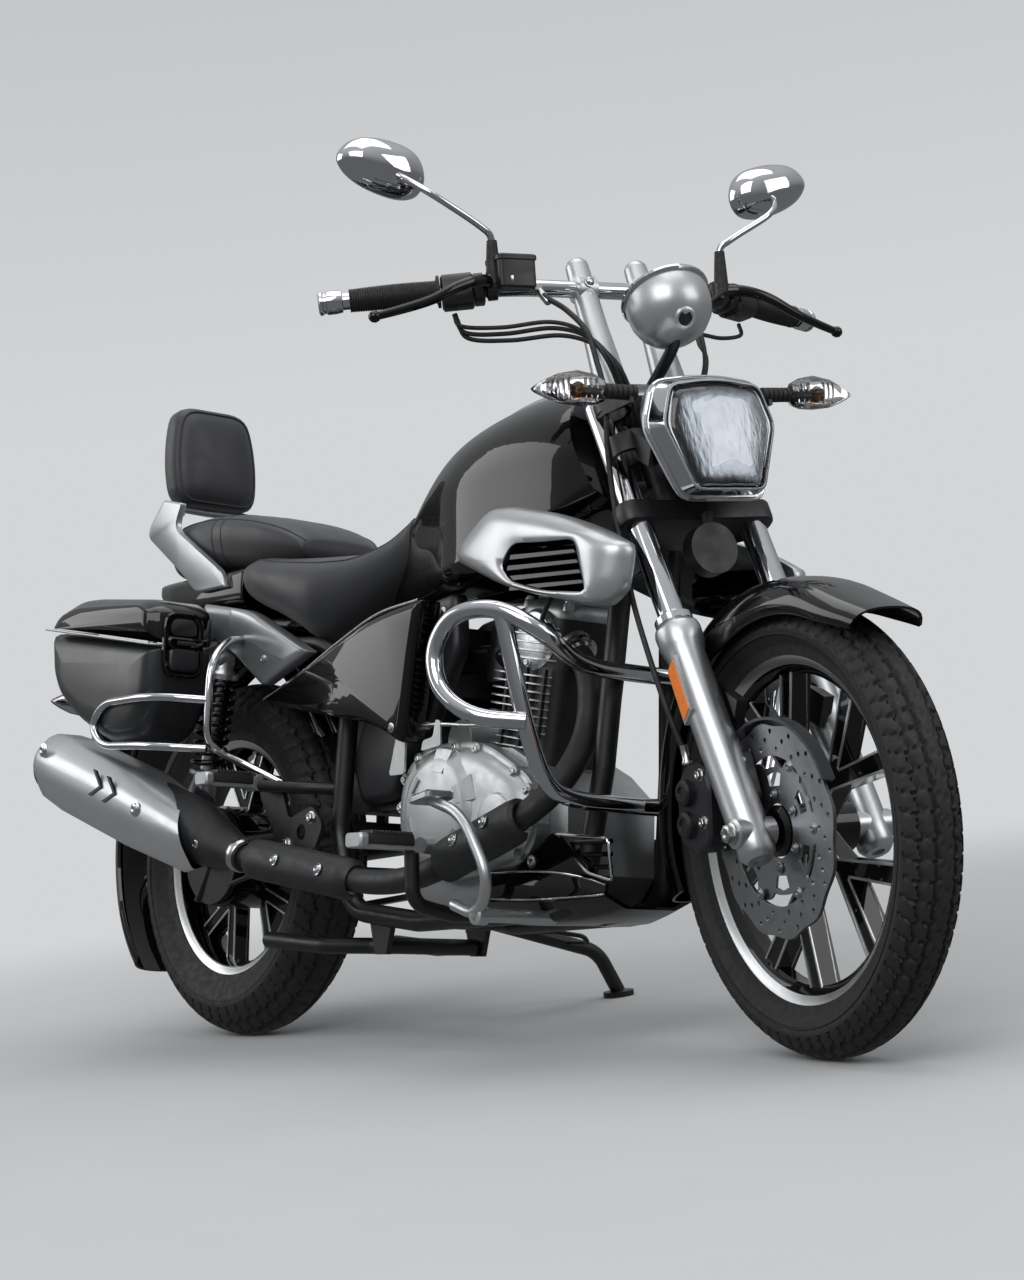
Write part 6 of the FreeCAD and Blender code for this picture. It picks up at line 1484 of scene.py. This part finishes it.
def hoses():
    """Cables from both controls to the head, and the brake hose down the right fork leg."""
    runs = (
        ("brake_hose", 4.2, [
            (984, -128, 1122), (1004, -122, 1104), (1034, -108, 1080), (1076, -100, 1040), (1104, -102, 990),
            (1130, -106, 930), (1150, -120, 850), (1168, -122, 740), (1196, -124, 640), (1232, -126, 560),
            (1272, -126, 480), (1290, -112, 412)
        ]),
        ("throttle_cable", 3.4, [
            (934, -240, 1092), (946, -232, 1062), (972, -180, 1056), (1010, -120, 1058), (1060, -92, 1036),
            (1102, -80, 998), (1104, -60, 950), (1096, -44, 895)
        ]),
        ("choke_cable", 3.4, [
            (930, -236, 1086), (944, -226, 1054), (974, -172, 1046), (1016, -112, 1046), (1064, -84, 1024),
            (1106, -70, 986), (1106, -50, 940), (1094, -34, 888)
        ]),
        ("clutch_cable", 3.6, [
            (986, 190, 1128), (1004, 150, 1104), (1034, 112, 1080), (1076, 92, 1040), (1100, 78, 980),
            (1092, 40, 890)
        ]),
        ("switch_lead_right", 3.2, [
            (938, -244, 1090), (950, -238, 1070), (978, -186, 1064), (1014, -126, 1066), (1058, -98, 1044),
            (1098, -88, 1004), (1098, -66, 956), (1090, -48, 900)
        ]),
        ("switch_lead_left", 3.2, [
            (938, 244, 1090), (950, 238, 1070), (978, 186, 1058), (1014, 126, 1054), (1058, 98, 1030),
            (1098, 84, 990), (1096, 56, 900)
        ]),
    )
    for name, radius, points in runs:
        form = Form()
        form.bar([(x, y, z) for x, y, z in points], radius, per=8, steps=10)
        if name == "brake_hose":
            form.look = 1
            form.turn([(-6, 8), (-5, 9.5), (5, 9.5), (6, 8)], (984, -128, 1122), (0.3, 1, 0), 6)
            form.turn([(0, 6), (30, 6), (32, 5)], (986, -127, 1121), (0.6, 0.2, -0.75), 12)
            form.turn([(-14, 6), (6, 6), (8, 8), (12, 8)], (1290, -112, 412), (0, 0.2, -1), 6)
        form.piece(name, [RUBBER, ZINC], "steering", sharp=50)


handlebar()
controls()
fork()
arch("front_mudguard", "steering", FRONT_AXLE, 314, 63, 50, 196, BLACK_PAINT, 46, 16, ["front_fender"],
     flare=18, rise=0.4)
brake()
hoses()


# Frame covers, belly pan, stands, pegs and tail


def belly():
    """The gloss black pan under the engine: a folded side that runs to a wedge, open at its front."""
    rows = ((834, 121, 252, 124, 216, 88, 181), (860, 122, 254, 125, 214, 88, 179),
            (940, 114, 252, 117, 212, 78, 179), (1000, 104, 248, 108, 213, 68, 184),
            (1044, 94, 240, 97, 216, 56, 192), (1072, 84, 231, 86, 219, 50, 200))
    form = Form()
    rings = []
    for x, w1, z1, w2, z2, w3, z3 in rows:
        side = [(w1, z1), (w1 + 1, z1 - 8), (w2, z2 + 4), (w2 - 2, z2 - 3), (w3 + 4, z3 + 3), (w3 - 4, z3)]
        loop = [(-y, z) for y, z in side] + [(y, z) for y, z in reversed(side)]
        inner = [(y * (1 - 5 / abs(y)), z + 4) for y, z in reversed(loop)]
        rings.append([Vector((x, y, z)) for y, z in loop + inner])
    form.skin(rings)
    form.look = 1
    for hand in HANDS:
        form.bar([(838, hand * 122.5, 253), (940, hand * 115, 253.5), (1000, hand * 105, 249.5),
                  (1044, hand * 95, 241.5), (1072, hand * 85, 232.5)], 1.5, steps=6)
        form.bar([(840, hand * 126, 216), (940, hand * 118.5, 213), (1050, hand * 96, 217),
                  (1072, hand * 86.5, 219.5)], 1.5, steps=6)
        form.tube([(980, hand * 99, 306), (1078, hand * 86, 298), (1082, hand * 84, 262),
                   (1084, hand * 82, 238), (1044, hand * 95, 250), (980, hand * 99, 306)], 2.6, 8, 8)
    form.look = 0
    for hand in HANDS:
        side = rounded([(892, 246), (1046, 246), (1044, 262), (984, 308), (970, 308)], (6, 6, 6, 10, 10), 4)
        form.plaque(side, lambda a, b, d, hand=hand: Vector((a, hand * (112 - (a - 892) * 0.12 + d), b)),
                    ((3, -14), (0, -11), (0, 0), (2, 2), (8, 2.5)))
        for z in (258, 276, 294):
            form.bar([(1010 - (z - 258) * 0.4, hand * 90, z), (1078, hand * 78, z)], 3.5, smooth=False,
                     steps=6)
    form.look = 2
    for hand in HANDS:
        form.dome_bolt((936, hand * 109.6, 268), ACROSS * hand, 8, 5)
    form.piece("belly_cowl", [BLACK_PAINT, CHROME, ZINC], "root", ["belly_pan"], sharp=26)


def frame_covers():
    """Matt moulded covers between the side covers and the engine, each held by two bolts."""
    form = Form()
    for hand in HANDS:
        outline = rounded([(560, 668), (716, 690), (724, 600), (668, 520), (640, 470), (596, 452), (560, 380),
                           (470, 372), (440, 440), (470, 500)], 16)
        form.look = 0
        form.plaque(outline, beside(hand, 70), ((4, -4), (0, 0), (0, 16), (4, 22), (12, 25)))
        form.look = 1
        form.dome_bolt((570, hand * 96, 500), ACROSS * hand, 9, 5)
        form.dome_bolt((690, hand * 96, 660), ACROSS * hand, 6, 4)
    form.piece("frame_covers", [PLASTIC, ZINC], "root", sharp=40)


def pegs():
    """Ribbed pegs for both riders, the brake pedal and the gear lever."""
    pads, metal = Form(), Form()
    for hand in HANDS:
        for at, out, wide, start, length in (((800, 0, 296), hand, 19, 232, 98),
                                             ((288, 0, 416), hand, 17, 190, 92)):
            at = Vector(at)
            outline = rounded([(-wide, -7), (wide, -7), (wide - 2, 10), (-wide + 2, 10)], 4, 3)
            rings = []
            for y, scale in ((start, 0.9), (start + 2, 1), (start + length - 16, 1),
                             (start + length - 14, 0.95)):
                rings.append([at + Vector((a * scale, out * y, b * scale)) for a, b in outline])
            pads.skin(rings)
            for row in range(int((length - 24) / 6)):
                y = start + 5 + row * 6
                pads.skin([[at + Vector((a, out * (y + e), high)) for a, e in box(-side, near, side, far)]
                           for side, near, far, high in ((wide - 1, 0, 3.6, 9), (wide - 2, 0.5, 3, 13.5))])
            block = rounded(box(-wide - 2, -13, wide + 2, 9), 7, 4)
            metal.skin([[at + Vector((a * s, out * y, b * s)) for a, b in block] for y,
                        s in ((start + length - 15, 0.92), (start + length - 13, 1), (start + length - 3, 1),
                              (start + length, 0.86))])
            metal.skin([[at + Vector((a * 0.8, out * y, b - 8)) for a,
                         b in ((-wide, -5), (wide, -5), (wide, 3), (-wide, 3))]
                        for y in (start - 6, start + length - 14)])
            metal.bar([at + Vector((0, out * (start - 44), -4)), at + Vector((0, out * start, -4))], [13, 10],
                      smooth=False, steps=16)
            metal.turn([(-16, 8), (-16, 12), (16, 12), (16, 8)], at + Vector((0, out * (start - 10), -5)),
                       (1, 0, 0), 20)
    pads.piece("ribbed_peg_pads", RUBBER, "root", ["foot_pegs"], sharp=30)
    metal.piece("peg_castings", CAST, "root", sharp=36)
    pedal = Form()
    pedal.tube([(880, -206, 204), (950, -214, 186), (994, -230, 238), (934, -234, 330), (866, -236, 352)],
               8.4, 40, 18)
    pedal.tube([(950, -78, 188), (950, -222, 188)], 10, 10, 18)
    pedal.turn([(-10, 9), (-9, 14), (9, 14), (10, 9)], (950, -212, 188), ACROSS, 24)
    pad = rounded(box(838, -262, 888, -212), 9)
    pedal.plaque(pad, lambda a, b, d: Vector((a, b, 356 + d + (a - 862) * 0.18)),
                 ((2, -5), (0, -3), (0, 4), (2, 5)))
    pedal.look = 1
    for row in range(6):
        x = 845 + row * 7
        pedal.bar([(x, -258, 362 + (x - 862) * 0.18), (x, -216, 362 + (x - 862) * 0.18)], 1.8, smooth=False,
                  steps=6)
    pedal.look = 0
    pedal.tube([(700, 100, 244), (700, 146, 244), (800, 158, 230), (930, 168, 262)], 7.4, 30, 16)
    pedal.look = 1
    pedal.bar([(930, 166, 262), (930, 218, 262)], 11.5, smooth=False, steps=20)
    pedal.piece("foot_levers", [POLISHED, RUBBER], "root", ["foot_controls"], sharp=40)


def hangers():
    """Plates that carry the pegs and the muffler, with their bolts."""
    form = Form()
    for hand in HANDS:
        outline = rounded([(352, 352), (420, 372), (452, 340), (430, 300), (330, 300), (262, 396), (270, 430),
                           (320, 424)], 12)
        form.look = 0
        form.sheet_of([outline, circle((390, 330), 13, 20)], flat(y=hand * 146), 0, hand * 7)
        form.look = 1
        for x, z in ((420, 352), (350, 312), (296, 410)):
            form.bolt((x, hand * 153, z), ACROSS * hand, 7, 7)
    form.look = 0
    form.sheet_of([rounded([(60, 352), (120, 340), (150, 392), (96, 420)], 10)], flat(y=-170), 0, -6)
    form.look = 1
    form.bolt((104, -176, 378), -ACROSS, 8, 7)
    form.look = 0
    form.sheet_of([rounded([(740, 268), (830, 268), (850, 300), (800, 312), (730, 300)], 12)], flat(y=-134),
                  0, -6)
    form.look = 1
    for x, z in ((760, 284), (826, 284), (882, 300)):
        form.bolt((x, -140, z), -ACROSS, 8, 8)
    form.piece("peg_hangers", [POWDER, ZINC], "root", sharp=36)


def tail():
    """The rear mudguard, the cowl behind the seat, the tail lamp and its blinkers."""
    arch("rear_mudguard", "root", Vector((0, 0, 337)), 360, 82, 26, 217, BLACK_PAINT, 24, 18, ["rear_fender"],
         thick=4)
    cowl = Form()
    rings = []
    for x, half, low, high in ((-198, 78, 786, 803), (-194, 90, 776, 807), (-150, 104, 752, 807),
                               (-100, 113, 732, 806), (40, 122, 722, 803), (128, 121, 722, 803),
                               (133, 117, 726, 798)):
        rings.append([Vector((x, y, z)) for y, z in oval(half, low, high, 5, 40)])
    cowl.skin(beam(rings, 4))
    cowl.piece("seat_cowl", BLACK_PAINT, "root", ["tail_cowl"], sharp=60)
    lamp = Form()
    lamp.plaque(rounded([(-46, 592), (46, 592), (40, 636), (-40, 636)], 12), lambda a, b,
                d: Vector((-452 - d, a, b)), ((2, 0), (0, 3), (0, 34), (3, 42), (9, 46), (20, 48)))
    for row in range(5):
        lamp.bar([(-499.5, -34, 600 + row * 7), (-500.5, 0, 600 + row * 7), (-499.5, 34, 600 + row * 7)], 1.2,
                 steps=6)
    lamp.piece("rear_lamp_lens", RED, "root", ["tail_light"], sharp=40)
    for tag, hand in SIDES:
        blinker(f"rear_blinker_{tag}", "root", (-396, hand * 134, 598), (0, hand, 0.05), (-1, 0, 0.05))


belly()
frame_covers()
pegs()
hangers()
tail()
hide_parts("rear_blinkers")


# Camera, floor and light


BACKDROP_GREY = "d3d5d7"
FLOOR_GREY = "c6c7c8"


def photo_camera():
    """The camera where the photographer stood, 71.4 mm on a 36 mm high picture."""
    lens = bpy.data.cameras.new("photo_camera")
    lens.lens = 71.4
    lens.sensor_width = 36
    lens.sensor_fit = "AUTO"
    lens.clip_start, lens.clip_end = 0.1, 60
    seen = bpy.data.objects.new("photo_camera", lens)
    seen.rotation_mode = "QUATERNION"
    seen.location = (3.22135, -2.49993, 0.51921)
    seen.rotation_quaternion = (0.646818, 0.622229, 0.353066, 0.2642)
    bpy.context.scene.collection.objects.link(seen)
    bpy.context.scene.camera = seen


def studio():
    """A pale floor that runs up into the background, and soft lamps at a plain level."""
    made, tree, place = blank("studio_floor")
    tone = spread(tree, speckle(tree, place, 400), 0.97, 1.0)
    base = node(tree, "ShaderNodeCombineColor", {"Red": tone, "Green": tone, "Blue": tone}).outputs[0]
    soft = node(tree, "ShaderNodeMix", {"Factor": 1.0, "A": base, "B": colour(FLOOR_GREY)}, data_type="RGBA",
                blend_type="MULTIPLY").outputs["Result"]
    near = node(tree, "ShaderNodeBsdfPrincipled", {"Base Color": soft, "Roughness": 0.8}).outputs[0]
    path = node(tree, "ShaderNodeLightPath").outputs
    glow = spread(tree, path["Is Camera Ray"], 0.26, 1.0, 0.0, 1.0)
    far = node(tree, "ShaderNodeEmission", {"Color": colour(BACKDROP_GREY), "Strength": glow}).outputs[0]
    reach = node(tree, "ShaderNodeVectorMath", {0: place}, operation="LENGTH").outputs["Value"]
    fade = node(tree, "ShaderNodeMapRange", {"Value": reach, "From Min": 1.4, "From Max": 3.6},
                interpolation_type="SMOOTHSTEP").outputs[0]
    faded = node(tree, "ShaderNodeMath", {0: path["Is Camera Ray"], 1: fade}, operation="MULTIPLY").outputs[0]
    share = node(tree, "ShaderNodeMath", {0: faded, 1: path["Is Glossy Ray"]}, operation="MAXIMUM").outputs[0]
    close(tree, node(tree, "ShaderNodeMixShader", {0: share, 1: near, 2: far}))
    mesh = bpy.data.meshes.new("studio_floor")
    mesh.from_pydata([(-30, -30, 0), (30, -30, 0), (30, 30, 0), (-30, 30, 0)], [], [(0, 1, 2, 3)])
    floor = bpy.data.objects.new("studio_floor", mesh)
    bpy.context.scene.collection.objects.link(floor)
    floor.data.materials.append(made)
    for name, place, aim, size, watts in (
        ("key_lamp", (3.4, -4.8, 4.8), (0.1, 0, 0.6), (5.2, 4.0), 210),
        ("side_lamp", (-4.4, -3.6, 3.2), (0, 0, 0.6), (4.0, 3.2), 90),
        ("front_lamp", (5.6, 2.4, 3.2), (0.3, 0, 0.6), (3.6, 3.2), 80),
        ("top_lamp", (0.0, 0.4, 5.8), (0, 0, 0.5), (6.0, 4.0), 130),
    ):
        lamp = bpy.data.lights.new(name, "AREA")
        lamp.shape = "RECTANGLE"
        lamp.size, lamp.size_y = size
        lamp.energy = watts
        hung = bpy.data.objects.new(name, lamp)
        hung.location = place
        hung.rotation_euler = (Vector(aim) - Vector(place)).to_track_quat("-Z", "Y").to_euler()
        bpy.context.scene.collection.objects.link(hung)
    world = bpy.data.worlds.new("studio_air")
    bpy.context.scene.world = world
    world.use_nodes = True
    tree = world.node_tree
    tree.nodes.clear()
    path = node(tree, "ShaderNodeLightPath").outputs
    height = node(tree, "ShaderNodeSeparateXYZ",
                  {"Vector": node(tree, "ShaderNodeTexCoord").outputs["Generated"]})
    direct = node(tree, "ShaderNodeMath", {0: path["Is Camera Ray"], 1: path["Is Transmission Ray"]},
                  operation="MAXIMUM").outputs[0]
    seen = node(tree, "ShaderNodeMath", {0: direct, 1: path["Is Glossy Ray"]}, operation="MAXIMUM").outputs[0]
    shade = spread(tree, height.outputs["Z"], 1.0, 0.42, 0.12, 0.75)
    mirrored = spread(tree, height.outputs["Z"], 0.26, 0.95, 0.05, 0.8)
    shown = node(tree, "ShaderNodeMix", {"Factor": direct, "A": mirrored, "B": shade}).outputs[0]
    power = node(tree, "ShaderNodeMix", {"Factor": seen, "A": 0.42, "B": shown}).outputs[0]
    air = node(tree, "ShaderNodeBackground", {"Color": colour(BACKDROP_GREY), "Strength": power})
    node(tree, "ShaderNodeOutputWorld", {"Surface": air.outputs[0]})
    bpy.context.scene.view_settings.view_transform = "Standard"


photo_camera()
studio()
